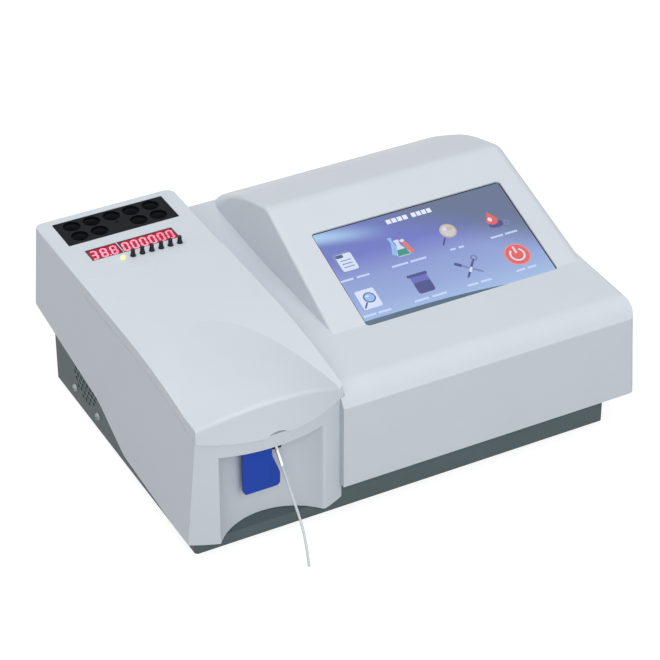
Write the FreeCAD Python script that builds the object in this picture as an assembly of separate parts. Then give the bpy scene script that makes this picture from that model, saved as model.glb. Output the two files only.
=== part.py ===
import FreeCAD, Part
import math
import os

os.makedirs("parts", exist_ok=True)
V = FreeCAD.Vector

# Drawing frame, mm: X to the right, Y to the rear, Z up, zero at the front left
# bottom corner of the steel tray. The frame of the finished files starts under the
# middle of the body, on the table, so every piece is moved by SHIFT when written.

WALL = 2.5                      # moulded wall thickness
SHEET = 1.2                     # steel sheet of the tray
DRAFT = math.tan(math.radians(4.1))
LEFT_X = -4.1                   # left cover wall, carried down to z = 0
RIGHT_X = 348.5                 # right cover wall, carried down to z = 0
BACK_Y = 266.2                  # rear face of the right half
LEFT_BACK = 267.6               # rear face of the left half
FRONT_Y = -6.6                  # front face of the right half
STEP_X = 113.6                  # right side of the raised left half
DECK_Z = 111.8                  # flat deck of the left half
NOSE_R = 122.0                  # plan radius of the bowed nose
NOSE_C = (55.2, 107.6)
POCKET_R = 50.4                 # plan radius of the sample pocket
POCKET_C = (56.0, -39.4)
POCKET_TOP = 81.0
NOSE_BOTTOM = 9.5

TRAY = (1.5, 324.5, 0.0, 233.1)  # x0, x1, y0, y1

TILT = math.radians(18.75)      # slope of the screen
SCREEN = V(163.3, 57.8, 97.0)   # lower left corner of the glass
SCREEN_W = 155.0
SCREEN_H = 89.0

HINGE_Y = 190.0                 # lid hinge axis
HINGE_Z = 100.0
SEAM_BODY = 14.2                # seam radius about the hinge axis, deck side
SEAM_LID = 14.5                 # the same, lid side
HINGE_X = (11.0, 102.0)         # middle of each hinge arm

WELL_R = 6.4
WELL_X = [27.6 + 15.48 * i for i in range(5)]
WELL_ROWS = (252.8, 238.5)      # rear row, front row
BLANK = (58.6, 243.1)           # screw in the place without a well

KEY_X = [50.4 + 7.3 * i for i in range(6)]
KEY_Y = 196.6
KEY_R = 1.95

PUMP = (56.0, 62.0)             # pump axis
OPTIC_X = 66.0
FAN = (180.0, 31.3)             # fan centre, y and z
WHEEL = (34.0, 128.0)           # filter wheel axis, x and y

SHIFT = V(-(LEFT_X + DRAFT * NOSE_BOTTOM + RIGHT_X - DRAFT * 21.7) / 2.0,
          -(NOSE_C[1] - NOSE_R + LEFT_BACK) / 2.0, 4.0)

written = []


def put(name, shape):
    """Move a finished piece to the file frame and write it."""
    piece = shape.copy()
    piece.translate(SHIFT)
    piece.exportStep("parts/" + name + ".step")
    box = piece.BoundBox
    print("%-20s v %9.1f  x %7.1f %7.1f  y %7.1f %7.1f  z %6.1f %6.1f  n %d ok %s" % (
        name, piece.Volume, box.XMin, box.XMax, box.YMin, box.YMax, box.ZMin, box.ZMax,
        len(piece.Solids), piece.isValid()))
    written.append(name)


def box(x0, x1, y0, y1, z0, z1):
    return Part.makeBox(x1 - x0, y1 - y0, z1 - z0, V(x0, y0, z0))


def rod(r, p, q):
    """Round bar of radius r from p to q."""
    p = V(*p)
    q = V(*q)
    return Part.makeCylinder(r, (q - p).Length, p, q - p)


def ring(r_out, r_in, p, q):
    return rod(r_out, p, q).cut(rod(r_in, p, q))


def join(parts):
    out = parts[0]
    if len(parts) > 1:
        out = out.fuse(parts[1:])
    return out.removeSplitter()


def outline(corners, place):
    """Closed wire through corners (u, v, radius), each corner rounded by its radius."""
    count = len(corners)
    ends = []
    for i in range(count):
        u, v, r = (tuple(corners[i]) + (0.0,))[:3]
        here = V(u, v, 0)
        back = V(corners[i - 1][0], corners[i - 1][1], 0) - here
        ahead = V(corners[(i + 1) % count][0], corners[(i + 1) % count][1], 0) - here
        back.normalize()
        ahead.normalize()
        if r <= 0:
            ends.append((here, None, here))
            continue
        half = back.getAngle(ahead) / 2.0
        reach = r / math.tan(half)
        middle = back + ahead
        middle.normalize()
        mid = here + middle * (r / math.sin(half) - r)
        ends.append((here + back * reach, mid, here + ahead * reach))
    edges = []
    for i in range(count):
        first, mid, last = ends[i]
        if mid is not None:
            edges.append(Part.Arc(place(first), place(mid), place(last)).toShape())
        start = place(last)
        stop = place(ends[(i + 1) % count][0])
        if start.distanceToPoint(stop) > 1e-6:
            edges.append(Part.LineSegment(start, stop).toShape())
    return Part.Wire(edges)


def side_wire(corners, x, inset=0.0):
    """Outline in the side view (y, z), drawn at x and drawn in by inset."""
    wire = outline(corners, lambda p: V(x, p.x, p.y))
    if inset:
        wire = wire.makeOffset2D(-inset)
    return wire


def side_prism(corners, x0, x1, inset=0.0):
    return Part.Face(side_wire(corners, x0, inset)).extrude(V(x1 - x0, 0, 0))


def plan_prism(corners, z0, z1):
    wire = outline(corners, lambda p: V(p.x, p.y, z0))
    return Part.Face(wire).extrude(V(0, 0, z1 - z0))


def front_prism(corners, y0, y1):
    wire = outline(corners, lambda p: V(p.x, y0, p.y))
    return Part.Face(wire).extrude(V(0, y1 - y0, 0))


def edges_near(shape, tests):
    """Edges whose middle passes any of the tests."""
    found = []
    for edge in shape.Edges:
        mid = edge.valueAt((edge.FirstParameter + edge.LastParameter) / 2.0)
        if any(test(mid, edge) for test in tests):
            found.append(edge)
    return found


def left_wall(z):
    return LEFT_X + DRAFT * z


def right_wall(z):
    return RIGHT_X - DRAFT * z


# Cover

def slab(x_low, x_high, y0, y1, shift=(0.0, 0.0)):
    """Upright block between a left and a right wall that both lean inward going up.

    x_low and x_high give the walls' x from a height; shift slides the rear end."""
    corners = [V(x_low(z), y0, z) for z in (-10.0, 170.0)]
    corners += [V(x_high(z), y0, z) for z in (170.0, -10.0)]
    wire = Part.makePolygon(corners + [corners[0]])
    return Part.Face(wire).extrude(V(shift[0], y1 - y0, 0))


def round_rear(block, x_split, r_left, r_right, y):
    """Round the two rear upright edges of a block."""
    left = edges_near(block, [lambda m, e: abs(m.y - y) < 0.01 and m.x < x_split
                              and e.BoundBox.ZLength > 100])
    right = edges_near(block, [lambda m, e: abs(m.y - y) < 0.01 and m.x > x_split
                               and e.BoundBox.ZLength > 100])
    block = block.makeFillet(r_left, left)
    right = edges_near(block, [lambda m, e: abs(m.y - y) < 0.01 and m.x > x_split
                               and e.BoundBox.ZLength > 100])
    return block.makeFillet(r_right, right)


def cover_plan(inset):
    y1 = BACK_Y - inset
    y0 = FRONT_Y + inset
    block = slab(lambda z: left_wall(z) + inset, lambda z: right_wall(z) - inset, y0, y1)
    block = round_rear(block, 170.0, 13.0 - inset, 25.0 - inset, y1)
    return block.makeFillet(5.0 - 0.8 * inset, edges_near(block, [
        lambda m, e: m.x > 300 and m.y < 0 and e.BoundBox.ZLength > 100]))


def nose_plan(inset, lean=0.0):
    """Left half in plan: bowed front, one leaning and one upright side, rounded rear."""
    y1 = LEFT_BACK - inset
    block = slab(lambda z: left_wall(z) + inset, lambda z: STEP_X - inset, -60.0, y1)
    block = round_rear(block, 50.0, 6.0 - inset, 7.0 - inset, y1)
    foot = V(NOSE_C[0], NOSE_C[1] - lean * 101.0, -10.0)
    bow = Part.makeCylinder(NOSE_R - inset, 190.0, foot, V(0, lean, 1))
    return block.common(bow.fuse(box(-40, 160, NOSE_C[1], 300, -10, 170)))


# Side outlines of the three volumes that the cover is joined from.
APRON = [(FRONT_Y, 21.7), (FRONT_Y, 87.0, 1.0), (1.5, 98.8, 18.0), (66.0, 98.8, 200.0),
         (177.0, 92.4, 300.0), (BACK_Y, 93.4, 2.5), (BACK_Y, 48.5, 2.0), (168.0, 38.0, 60.0),
         (120.0, 21.7, 60.0)]
HOOD_BREAK = 233.0               # where the hood's rear slope runs straight
REAR_ROUND = 14.0
CREST = (172.6, 137.2)
HOOD = [(20.0, 85.49), (CREST[0], CREST[1], 14.0), (215.0, 124.6, 160.0),
        (BACK_Y + 0.3, 95.3, 9.0), (BACK_Y + 0.3, 60.0), (60.0, 60.0)]
LEFT_SIDE = [(-60.0, NOSE_BOTTOM), (-60.0, DECK_Z), (LEFT_BACK, DECK_Z), (LEFT_BACK, 48.5, 2.0),
             (150.0, 33.0, 60.0), (105.0, 14.5, 30.0), (20.0, NOSE_BOTTOM)]


def hood_sides(inset, spread=0.0, y1=BACK_Y + 5.0):
    """The screen hood: its left wall leans in and runs slightly outward to the front."""
    def left(z):
        return 134.1 + DRAFT * (z - 98.0) + inset - spread

    span = y1 + 40.0
    near = slab(left, lambda z: 400.0, -40.0, y1, (0.0333 * span, 0.0))
    far = slab(lambda z: 100.0, lambda z: right_wall(z) - inset + spread, -40.0, y1)
    return near.common(far)


def hood_corners(inset):
    """The same walls a touch further out, with the two rear upright corners rounded."""
    y1 = BACK_Y - inset
    return round_rear(hood_sides(inset, 0.3, y1), 250.0, 10.0 - inset, 25.0 - inset, y1)


def hood_rear(inset):
    """Straight rear slope of the hood; its left edge grows rounder toward the back."""
    far = 300.0
    fall = (HOOD[2][1] - HOOD[3][1]) / (HOOD[3][0] - HOOD[2][0])
    drop = inset * math.sqrt(1.0 + fall * fall)

    def top(y):
        return HOOD[3][1] + (HOOD[3][0] - y) * fall - drop

    block = side_prism([(HOOD_BREAK, 40.0), (HOOD_BREAK, top(HOOD_BREAK)), (far, top(far)), (far, 40.0)],
                       100.0, 400.0)
    block = block.common(hood_sides(inset, 0.0, far + 5.0))
    near = 2.2 if inset == 0 else 1.0
    end = near + (REAR_ROUND - inset - near) * (far - HOOD_BREAK) / (BACK_Y - HOOD_BREAK)
    edge = edges_near(block, [lambda m, e: m.x < 150 and m.z > 80 and 240 < m.y < 290
                              and e.Length > 60])[0]
    radii = (near, end)
    if edge.Vertexes[0].Point.y > edge.Vertexes[-1].Point.y:
        radii = (end, near)
    block = block.makeFillet(radii[0], radii[1], [edge])
    return block.makeFillet(8.0 - inset, edges_near(block, [
        lambda m, e: m.x > 320 and m.z > 80 and 240 < m.y < 290 and e.Length > 60]))


def screen_hood(inset):
    profile = side_prism(HOOD, 100.0, 400.0, inset)
    front = profile.common(hood_sides(inset)).common(box(100, 400, -60, HOOD_BREAK, 0, 200))
    if inset == 0:
        front = front.makeFillet(2.5, edges_near(front, [
            lambda m, e: m.x < 146 and m.z > 99 and 80 < m.y < 231]))
    front = front.makeFillet(8.0 - inset, edges_near(front, [
        lambda m, e: m.x > 334 and m.z > 99 and 80 < m.y < 231]))
    hood = front.fuse(hood_rear(inset)).common(profile)
    return hood.common(hood_corners(inset))


def right_half(inset):
    plan = cover_plan(inset)
    start = STEP_X - 3.2 if inset == 0 else STEP_X - 5.0
    apron = side_prism(APRON, start, 400.0, inset).common(plan)
    # its right top edge is softly rounded
    soft = front_prism([(0.0, -20.0), (0.0, 98.8 - inset), (right_wall(98.8) - inset, 98.8 - inset, 2.5),
                        (right_wall(-20.0) - inset, -20.0)], -80.0, 280.0)
    apron = apron.common(soft)
    if inset > 0:
        # the hollow stops short of the nose, so that the front wall closes on it
        apron = apron.cut(box(60.0, STEP_X - 3.2 + WALL, -60.0, 12.0, -20.0, 200.0))
    return apron.fuse(screen_hood(inset))


def lid_zone(gap):
    """Side-view region taken by the lid: above the parting line, before the seam."""
    r = SEAM_LID if gap > 0 else SEAM_BODY
    low = 104.0 + gap
    top = math.sqrt(r * r - (DECK_Z - HINGE_Z) ** 2)
    bottom = math.sqrt(r * r - (low - HINGE_Z) ** 2)
    a0 = math.atan2(DECK_Z - HINGE_Z, -top)
    a1 = math.atan2(low - HINGE_Z, -bottom)
    am = (a0 + a1) / 2.0
    x = -20.0
    pts = [V(x, -40, 135), V(x, HINGE_Y - top, 135), V(x, HINGE_Y - top, DECK_Z),
           V(x, HINGE_Y - bottom, low), V(x, 110, low), V(x, -40, 85.15 + gap)]
    mid = V(x, HINGE_Y + r * math.cos(am), HINGE_Z + r * math.sin(am))
    wire = Part.Wire([
        Part.LineSegment(pts[0], pts[1]).toShape(),
        Part.LineSegment(pts[1], pts[2]).toShape(),
        Part.Arc(pts[2], mid, pts[3]).toShape(),
        Part.LineSegment(pts[3], pts[4]).toShape(),
        Part.Arc(pts[4], V(x, 42, 100.18 + gap), pts[5]).toShape(),
        Part.LineSegment(pts[5], pts[0]).toShape()])
    return Part.Face(wire).extrude(V(STEP_X + 0.4 + 20.0, 0, 0))


def pocket(grow):
    """Upright hollow of the sample pocket in the nose."""
    return rod(POCKET_R + grow, (POCKET_C[0], POCKET_C[1], -1), (POCKET_C[0], POCKET_C[1], POCKET_TOP + grow))


def left_half():
    body = side_prism(LEFT_SIDE, -20.0, 140.0).common(nose_plan(0.0))
    body = body.makeFillet(1.4, edges_near(body, [
        lambda m, e: abs(m.z - DECK_Z) < 0.01 and m.y > 100]))
    body = body.cut(pocket(0.0))
    right_lip = edges_near(body, [lambda m, e: abs(m.x - 95.2) < 1.2 and 20 < m.z < 70 and m.y < 0])
    if right_lip:
        body = body.makeFillet(3.0, right_lip)
    return body


def left_hollow():
    hollow = side_prism(LEFT_SIDE, -20.0, 140.0, WALL).common(nose_plan(WALL))
    return hollow.cut(pocket(WALL))


def screen_box(u0, u1, w0, w1, n0, n1, r=0.0):
    """Box in the slope's own directions: along the screen, up the screen, out of it."""
    corners = [(u0, w0, r), (u1, w0, r), (u1, w1, r), (u0, w1, r)]
    face = Part.Face(outline(corners, lambda p: V(p.x, p.y, n0)))
    solid = face.extrude(V(0, 0, n1 - n0))
    solid.rotate(V(0, 0, 0), V(1, 0, 0), math.degrees(TILT))
    solid.translate(SCREEN)
    return solid


TRAY_STEP_X = 112.0
COVER_POSTS = [(12.0, 215.0), (104.0, 215.0), (119.0, 60.0), (150.0, 220.0), (319.5, 44.0),
               (319.5, 215.0)]


def upper_cover():
    outer = left_half().fuse(right_half(0.0))
    inner = left_hollow().fuse(right_half(WALL))
    cover = outer.cut(inner)
    cover = cover.cut(lid_zone(0.0))
    # underside left open over the tray
    tray_gap = 0.4
    opening = box(TRAY[0] - tray_gap, TRAY[1] + tray_gap, 20.0, TRAY[3] + tray_gap, -1.0, 60.0)
    opening = opening.fuse(box(TRAY_STEP_X - 1.6, TRAY[1] + tray_gap, -0.4, 30.0, -1.0, 60.0))
    cover = cover.cut(opening)
    # the nose is open below and stands over the step of the tray
    nose_floor = side_prism([(-60, 5), (-60, 14), (24, 14), (24, 5)], -20.0, 140.0)
    cover = cover.cut(nose_floor.common(left_hollow_plan()))
    # screen window
    cover = cover.cut(screen_box(0, SCREEN_W, 0, SCREEN_H, -8.0, 8.0, 3.0))
    # deck cut-outs
    cover = cover.cut(box(15.2, 102.0, 228.8, 260.8, 100.0, 120.0))
    cover = cover.cut(box(22.3, 46.2, 203.3, 218.2, 100.0, 120.0))
    cover = cover.cut(box(46.9, 90.2, 203.3, 218.2, 100.0, 120.0))
    for x in KEY_X:
        cover = cover.cut(rod(KEY_R + 0.35, (x, KEY_Y, 100), (x, KEY_Y, 120)))
    cover = cover.cut(rod(1.5, (42.5, 196.2, 100), (42.5, 196.2, 120)))
    # slot for the aspirate key, and the notch where the sipper holder comes out
    cover = cover.cut(box(37.0, 61.0, -1.5, 5.5, 80.0, 90.0))
    cover = cover.cut(box(60.5, 67.2, 5.0, 16.0, 65.8, 83.0))
    # screw bosses under the deck and behind the screen
    for x, y in BOARD_POSTS:
        cover = cover.fuse(ring(2.0, 1.0, (x, y, 101.6), (x, y, 110.0)))
    for post in screen_posts():
        cover = cover.fuse(post)
    # hollow posts that stand on the tray floor and take its screws
    for x, y in COVER_POSTS:
        post = ring(3.2, 1.2, (x, y, SHEET), (x, y, 150.0))
        cover = cover.fuse(post.common(outer).cut(lid_zone(0.0)))
    return cover.removeSplitter()


def left_hollow_plan():
    grown = nose_plan(WALL)
    return grown.cut(pocket(WALL)).common(box(-20, STEP_X - WALL, -60, 24, 0, 60))


def tray():
    x0, x1, y0, y1 = TRAY
    t = SHEET
    parts = [box(x0, x1, y0, y1, 0, t)]
    parts.append(box(x0, 112.0, y0, y0 + t, 0, 9.0))
    parts.append(box(x0, 112.0, y0, 18.0, 9.0 - t, 9.0))
    parts.append(box(x0, 112.0, 18.0 - t, 18.0, 9.0 - t, 40.0))
    parts.append(box(112.0 - t, 112.0, y0, 18.0, 0, 40.0))
    parts.append(box(112.0 - t, x1, y0, y0 + t, 0, 40.0))
    parts.append(box(x1 - t, x1, y0, y1, 0, 40.0))
    parts.append(box(x0, x1, y1 - t, y1, 0, 60.0))
    # the left wall keeps just behind the cover's lower edge
    side = [(y0, 0.0), (y0, 9.0), (18.0, 13.5), (104.0, 17.5, 30.0), (150.0, 36.0, 60.0),
            (y1, 47.2), (y1, 0.0)]
    parts.append(side_prism(side, x0, x0 + t))
    body = join(parts)
    body = body.makeFillet(2.0, edges_near(body, [
        lambda m, e: e.BoundBox.ZLength > 30 and abs(m.x - x1) < 0.05]))
    body = body.common(plan_prism([(x0, y0, 2.5), (400.0, y0), (400.0, 300.0), (x0, 300.0)], -5.0, 100.0))
    # fan grille: rows of round holes in the left wall
    pitch = 5.3
    holes = []
    for row in range(-4, 5):
        for col in range(-4, 5):
            y = FAN[0] + pitch * (col + 0.5 * (row % 2))
            z = FAN[1] + pitch * math.sqrt(0.75) * row
            if math.hypot(y - FAN[0], z - FAN[1]) > 19.5:
                continue
            if z > 50:
                continue
            corners = []
            for k in range(8):
                a = math.radians(45 * k + 22.5)
                corners.append((y + 1.7 * math.cos(a), z + 1.7 * math.sin(a)))
            holes.append(side_prism(corners, x0 - 1, x0 + t + 1))
    body = body.cut(holes)
    # screw holes of the fan
    for dy in (-20.0, 20.0):
        body = body.cut(rod(2.1, (x0 - 1, FAN[0] + dy, FAN[1] - 20), (x0 + 3, FAN[0] + dy, FAN[1] - 20)))
    # rear panel cut-outs
    for cut in (box(283.0, 311.0, y1 - 5, y1 + 2, 13.0, 33.0),
                box(251.5, 270.5, y1 - 5, y1 + 2, 16.0, 29.0),
                box(181.0, 205.0, y1 - 5, y1 + 2, 17.0, 27.0),
                box(150.0, 162.0, y1 - 5, y1 + 2, 17.0, 28.0)):
        body = body.cut(cut)
    body = body.cut(rod(4.1, (30, y1 - 5, 26), (30, y1 + 5, 26)))
    # screw holes of the feet
    for x, y in FEET:
        body = body.cut(rod(2.0, (x, y, -1), (x, y, 3)))
    return body


FEET = [(30.0, 36.0), (296.0, 36.0), (30.0, 205.0), (296.0, 205.0)]


def rubber_feet():
    feet = []
    for x, y in FEET:
        foot = Part.makeCone(8.0, 9.0, 4.0, V(x, y, -4.0))
        foot = foot.cut(rod(4.2, (x, y, -4.1), (x, y, -2.0)))
        foot = foot.fuse(rod(1.9, (x, y, -0.5), (x, y, 2.6)))
        foot = foot.fuse(rod(3.4, (x, y, 1.3), (x, y, 2.6)))
        feet.append(foot.removeSplitter())
    return Part.makeCompound(feet)


# Lid

def lid_top(drop):
    """Side prism under the lid's general top: level at the rear, drooping to the front."""
    z = DECK_Z - drop
    wire = Part.Wire([
        Part.LineSegment(V(-20, 200, 60), V(-20, 200, z)).toShape(),
        Part.LineSegment(V(-20, 200, z), V(-20, 110, z)).toShape(),
        Part.Arc(V(-20, 110, z), V(-20, 42, z - 3.9), V(-20, -25, z - 15.6)).toShape(),
        Part.LineSegment(V(-20, -25, z - 15.6), V(-20, -25, 60)).toShape(),
        Part.LineSegment(V(-20, -25, 60), V(-20, 200, 60)).toShape()])
    return Part.Face(wire).extrude(V(160, 0, 0))


def lid_crown(drop):
    """Bulge over the pump: a bow across the lid that flattens and sinks to the rear."""
    def section(y):
        top = 111.7 + (99.0 - y) * 0.0439 - drop
        fall = 18.7 - 0.124 * y
        half = 62.0
        cx = 55.0
        a = V(cx - half, y, top - fall)
        b = V(cx + half, y, top - fall)
        return Part.Wire([
            Part.Arc(a, V(cx, y, top), b).toShape(),
            Part.LineSegment(b, V(cx + half, y, 60)).toShape(),
            Part.LineSegment(V(cx + half, y, 60), V(cx - half, y, 60)).toShape(),
            Part.LineSegment(V(cx - half, y, 60), a).toShape()])
    return Part.makeLoft([section(-25.0), section(130.0)], True, True)


def hinge_arm(x):
    """Swan-neck arm that dips below the deck edge and hooks back to the pin."""
    w = 2.0
    path = [(HINGE_Y, HINGE_Z), (180.0, 91.5), (171.5, 93.0), (168.5, 109.6)]
    parts = [rod(4.0, (x - w, HINGE_Y, HINGE_Z), (x + w, HINGE_Y, HINGE_Z))]
    for (ya, za), (yb, zb) in zip(path, path[1:]):
        length = math.hypot(yb - ya, zb - za)
        ny = -(zb - za) / length * w
        nz = (yb - ya) / length * w
        parts.append(side_prism([(ya + ny, za + nz), (yb + ny, zb + nz),
                                 (yb - ny, zb - nz), (ya - ny, za - nz)], x - w, x + w))
        if (yb, zb) != path[-1]:
            parts.append(rod(w, (x - w, yb, zb), (x + w, yb, zb)))
    arm = join(parts)
    return arm.cut(rod(1.56, (x - 5, HINGE_Y, HINGE_Z), (x + 5, HINGE_Y, HINGE_Z)))


def front_lid():
    lean = math.tan(math.radians(10.0))
    outer = lid_top(0.0).fuse(lid_crown(0.0)).common(nose_plan(0.0, lean)).removeSplitter()
    outer = outer.makeFillet(2.6, edges_near(outer, [
        lambda m, e: m.z > 98 and m.y < 3 and e.Length > 20]))
    inner = lid_top(WALL).fuse(lid_crown(WALL)).common(nose_plan(WALL, lean))
    keep_back = rod(SEAM_LID + WALL, (-30, HINGE_Y, HINGE_Z), (200, HINGE_Y, HINGE_Z))
    inner = inner.cut(keep_back).cut(box(-30, 200, HINGE_Y, 300, 50, 150))
    shell = outer.cut(inner).common(lid_zone(0.4))
    # finger notch in the front edge
    shell = shell.cut(rod(13.6, (56.6, -30, 80.5), (56.6, -5, 80.5)))
    arms = [hinge_arm(x) for x in HINGE_X]
    # ribs across the hollow underside
    ribs = []
    for y in (60.0, 120.0):
        rib = box(-10, 130, y - 0.9, y + 0.9, 106.0, 125.0).common(inner)
        ribs.append(rib)
    shell = shell.fuse(ribs + arms)
    return shell.removeSplitter()


def hinge_brackets():
    made = []
    for x in HINGE_X:
        ears = []
        for s in (-1, 1):
            a = x + s * 2.4
            b = x + s * 4.6
            x0, x1 = min(a, b), max(a, b)
            ear = side_prism([(HINGE_Y - 4, 96, 3), (HINGE_Y - 4, 109.3), (HINGE_Y + 6, 109.3),
                              (HINGE_Y + 4, 96, 3)], x0, x1)
            ears.append(ear)
        plate = box(x - 4.6, x + 4.6, HINGE_Y - 4, HINGE_Y + 6, 107.8, 109.3)
        made.append(join(ears + [plate]).cut(
            rod(1.5, (x - 9, HINGE_Y, HINGE_Z), (x + 9, HINGE_Y, HINGE_Z))))
    return Part.makeCompound(made)


def hinge_pins():
    pins = []
    for x in HINGE_X:
        pins.append(rod(1.5, (x - 4.8, HINGE_Y, HINGE_Z), (x + 4.8, HINGE_Y, HINGE_Z)))
    return Part.makeCompound(pins)


# Incubator on the deck

def wells():
    spots = []
    for j, y in enumerate(WELL_ROWS):
        for i, x in enumerate(WELL_X):
            if j == 1 and i == 2:
                continue
            spots.append((x, y))
    return spots


def incubator_plate():
    plate = plan_prism([(15.4, 229.0, 1.0), (101.8, 229.0, 1.0), (101.8, 260.6, 1.0),
                        (15.4, 260.6, 1.0)], 109.3, 111.6)
    for x, y in wells():
        plate = plate.cut(rod(WELL_R, (x, y, 105), (x, y, 115)))
    return plate.cut(rod(1.3, (BLANK[0], BLANK[1], 105), (BLANK[0], BLANK[1], 115)))


def incubator_block():
    """Five heated sections side by side, each bored for a rear and a front well."""
    half = (WELL_X[1] - WELL_X[0]) / 2.0 - 0.1
    bores = [rod(WELL_R, (x, y, 77.0), (x, y, 112)) for x, y in wells()]
    bores.append(rod(1.0, (BLANK[0], BLANK[1], 100), (BLANK[0], BLANK[1], 112)))
    sections = []
    for x in WELL_X:
        x0 = 17.0 if x == WELL_X[0] else x - half
        x1 = 100.2 if x == WELL_X[-1] else x + half
        section = box(x0, x1, 230.6, 260.6, 72.0, 109.3)
        for bore in bores:
            if abs(bore.BoundBox.Center.x - x) < 1.0:
                section = section.cut(bore)
        sections.append(section)
    return Part.makeCompound(sections)


def plate_screw():
    x, y = BLANK
    screw = rod(1.25, (x, y, 109.3), (x, y, 110.8)).fuse(rod(1.0, (x, y, 101), (x, y, 109.3)))
    return screw.cut(box(x - 0.9, x + 0.9, y - 0.2, y + 0.2, 110.3, 112)).removeSplitter()


def heater_film():
    return box(20.0, 97.2, 233.0, 258.0, 71.2, 72.0)


def incubator_hanger():
    """Sheet strap that carries the block under the deck."""
    strap = box(10.5, 106.0, 236.0, 254.0, 69.7, 71.2)
    parts = [strap]
    for x0, x1 in ((9.0, 10.5), (106.0, 107.5)):
        parts.append(box(x0, x1, 236.0, 254.0, 69.7, 109.3))
    return join(parts)


# Counter windows, lamps and keys

COUNTERS = ((22.4, 46.1), (47.0, 90.1))
COUNTER_Y = (203.4, 218.1)
FIGURE_Z = 111.0


def counter_windows():
    panes = []
    for x0, x1 in COUNTERS:
        panes.append(box(x0 + 0.85, x1 - 0.85, COUNTER_Y[0] + 0.85, COUNTER_Y[1] - 0.85,
                         FIGURE_Z + 0.15, 111.7))
    return Part.makeCompound(panes)


SEGMENTS = {
    "3": "abcdg",
    "8": "abcdefg",
    "0": "abcdef",
}


def digit(cx, cy, text, w=4.9, h=10.6, t=1.3):
    """Seven-bar figure lying flat, as separate bars."""
    bars = []
    g = 0.22
    half = h / 2.0
    places = {
        "a": (cx - w / 2 + t + g, cx + w / 2 - t - g, cy + half - t, cy + half),
        "g": (cx - w / 2 + t + g, cx + w / 2 - t - g, cy - t / 2, cy + t / 2),
        "d": (cx - w / 2 + t + g, cx + w / 2 - t - g, cy - half, cy - half + t),
        "f": (cx - w / 2, cx - w / 2 + t, cy + t / 2 + g, cy + half - g),
        "b": (cx + w / 2 - t, cx + w / 2, cy + t / 2 + g, cy + half - g),
        "e": (cx - w / 2, cx - w / 2 + t, cy - half + g, cy - t / 2 - g),
        "c": (cx + w / 2 - t, cx + w / 2, cy - half + g, cy - t / 2 - g),
    }
    for name in SEGMENTS[text]:
        x0, x1, y0, y1 = places[name]
        bars.append(box(x0, x1, y0, y1, FIGURE_Z, FIGURE_Z + 0.15))
    return bars


def digits():
    bars = []
    for i, text in enumerate("388"):
        bars += digit(27.2 + 7.1 * i, 210.75, text)
    bars.append(box(37.3, 38.2, 205.4, 206.6, FIGURE_Z, FIGURE_Z + 0.15))
    for x in KEY_X:
        bars += digit(x - 0.1, 210.75, "0")
    return Part.makeCompound(bars)


def counter_modules():
    made = []
    for x0, x1 in COUNTERS:
        case = box(x0, x1, COUNTER_Y[0], COUNTER_Y[1], 101.6, 111.7)
        made.append(case.cut(box(x0 + 0.8, x1 - 0.8, COUNTER_Y[0] + 0.8, COUNTER_Y[1] - 0.8,
                                 FIGURE_Z, 113.0)))
    return Part.makeCompound(made)


def key_board():
    board = plan_prism([(19.0, 191.5, 1.0), (94.5, 191.5, 1.0), (94.5, 224.0, 1.0), (19.0, 224.0, 1.0)],
                       100.0, 101.6)
    for x, y in BOARD_POSTS:
        board = board.cut(rod(1.6, (x, y, 99), (x, y, 103)))
    return board


BOARD_POSTS = [(22.5, 221.0), (91.0, 221.0), (22.5, 195.0), (92.3, 195.0)]


def deck_screws():
    made = [plate_screw()]
    for x, y in BOARD_POSTS:
        made.append(rod(2.2, (x, y, 98.4), (x, y, 100.0)).fuse(
            rod(0.95, (x, y, 98.4), (x, y, 106.0))).removeSplitter())
    return Part.makeCompound(made)


def key_switches():
    made = []
    for x in KEY_X:
        base = box(x - 2.6, x + 2.6, KEY_Y - 2.6, KEY_Y + 2.6, 101.6, 104.4)
        made.append(base.fuse(rod(1.3, (x, KEY_Y, 104.4), (x, KEY_Y, 105.0))).removeSplitter())
    return Part.makeCompound(made)


def timer_key(x):
    body = rod(KEY_R, (x, KEY_Y, 107.8), (x, KEY_Y, 112.6))
    cap = Part.makeCone(KEY_R, 1.35, 6.1, V(x, KEY_Y, 112.6))
    stem = rod(1.2, (x, KEY_Y, 106.7), (x, KEY_Y, 107.8))
    flange = rod(2.9, (x, KEY_Y, 107.6), (x, KEY_Y, 109.0))
    return body.fuse([cap, stem, flange]).removeSplitter()


def status_lamp():
    x, y = 42.5, 196.2
    lamp = rod(1.4, (x, y, 103.0), (x, y, 115.0))
    lamp = lamp.makeFillet(1.2, edges_near(lamp, [lambda m, e: m.z > 114.9]))
    return lamp.fuse(rod(1.9, (x, y, 101.6), (x, y, 103.4))).removeSplitter()


# Aspirate key in the pocket

KEY_AXIS = (1.5, 88.0)


def aspirate_key():
    corners = [(38.3, 84.0), (38.5, 36.4, 2.5), (65.4, 36.4, 3.0), (65.6, 47.0, 8.0),
               (59.8, 62.5, 8.0), (59.6, 84.0)]
    blade = front_prism(corners, 0.0, 3.0)
    y, z = KEY_AXIS
    hub = rod(3.6, (38.3, y, z), (59.6, y, z))
    neck = box(38.3, 59.6, 0.0, 3.0, 83.0, 88.0)
    arm = box(44.0, 52.0, 1.0, 10.0, 86.8, 89.0)
    ribs = [box(x, x + 1.5, 3.0, 4.2, 52.0, 79.0) for x in (43.0, 53.5)]
    body = join([blade, hub, neck, arm] + ribs)
    return body.cut(rod(1.56, (30, y, z), (70, y, z)))


def key_pin():
    y, z = KEY_AXIS
    return rod(1.5, (33.0, y, z), (64.5, y, z))


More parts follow.
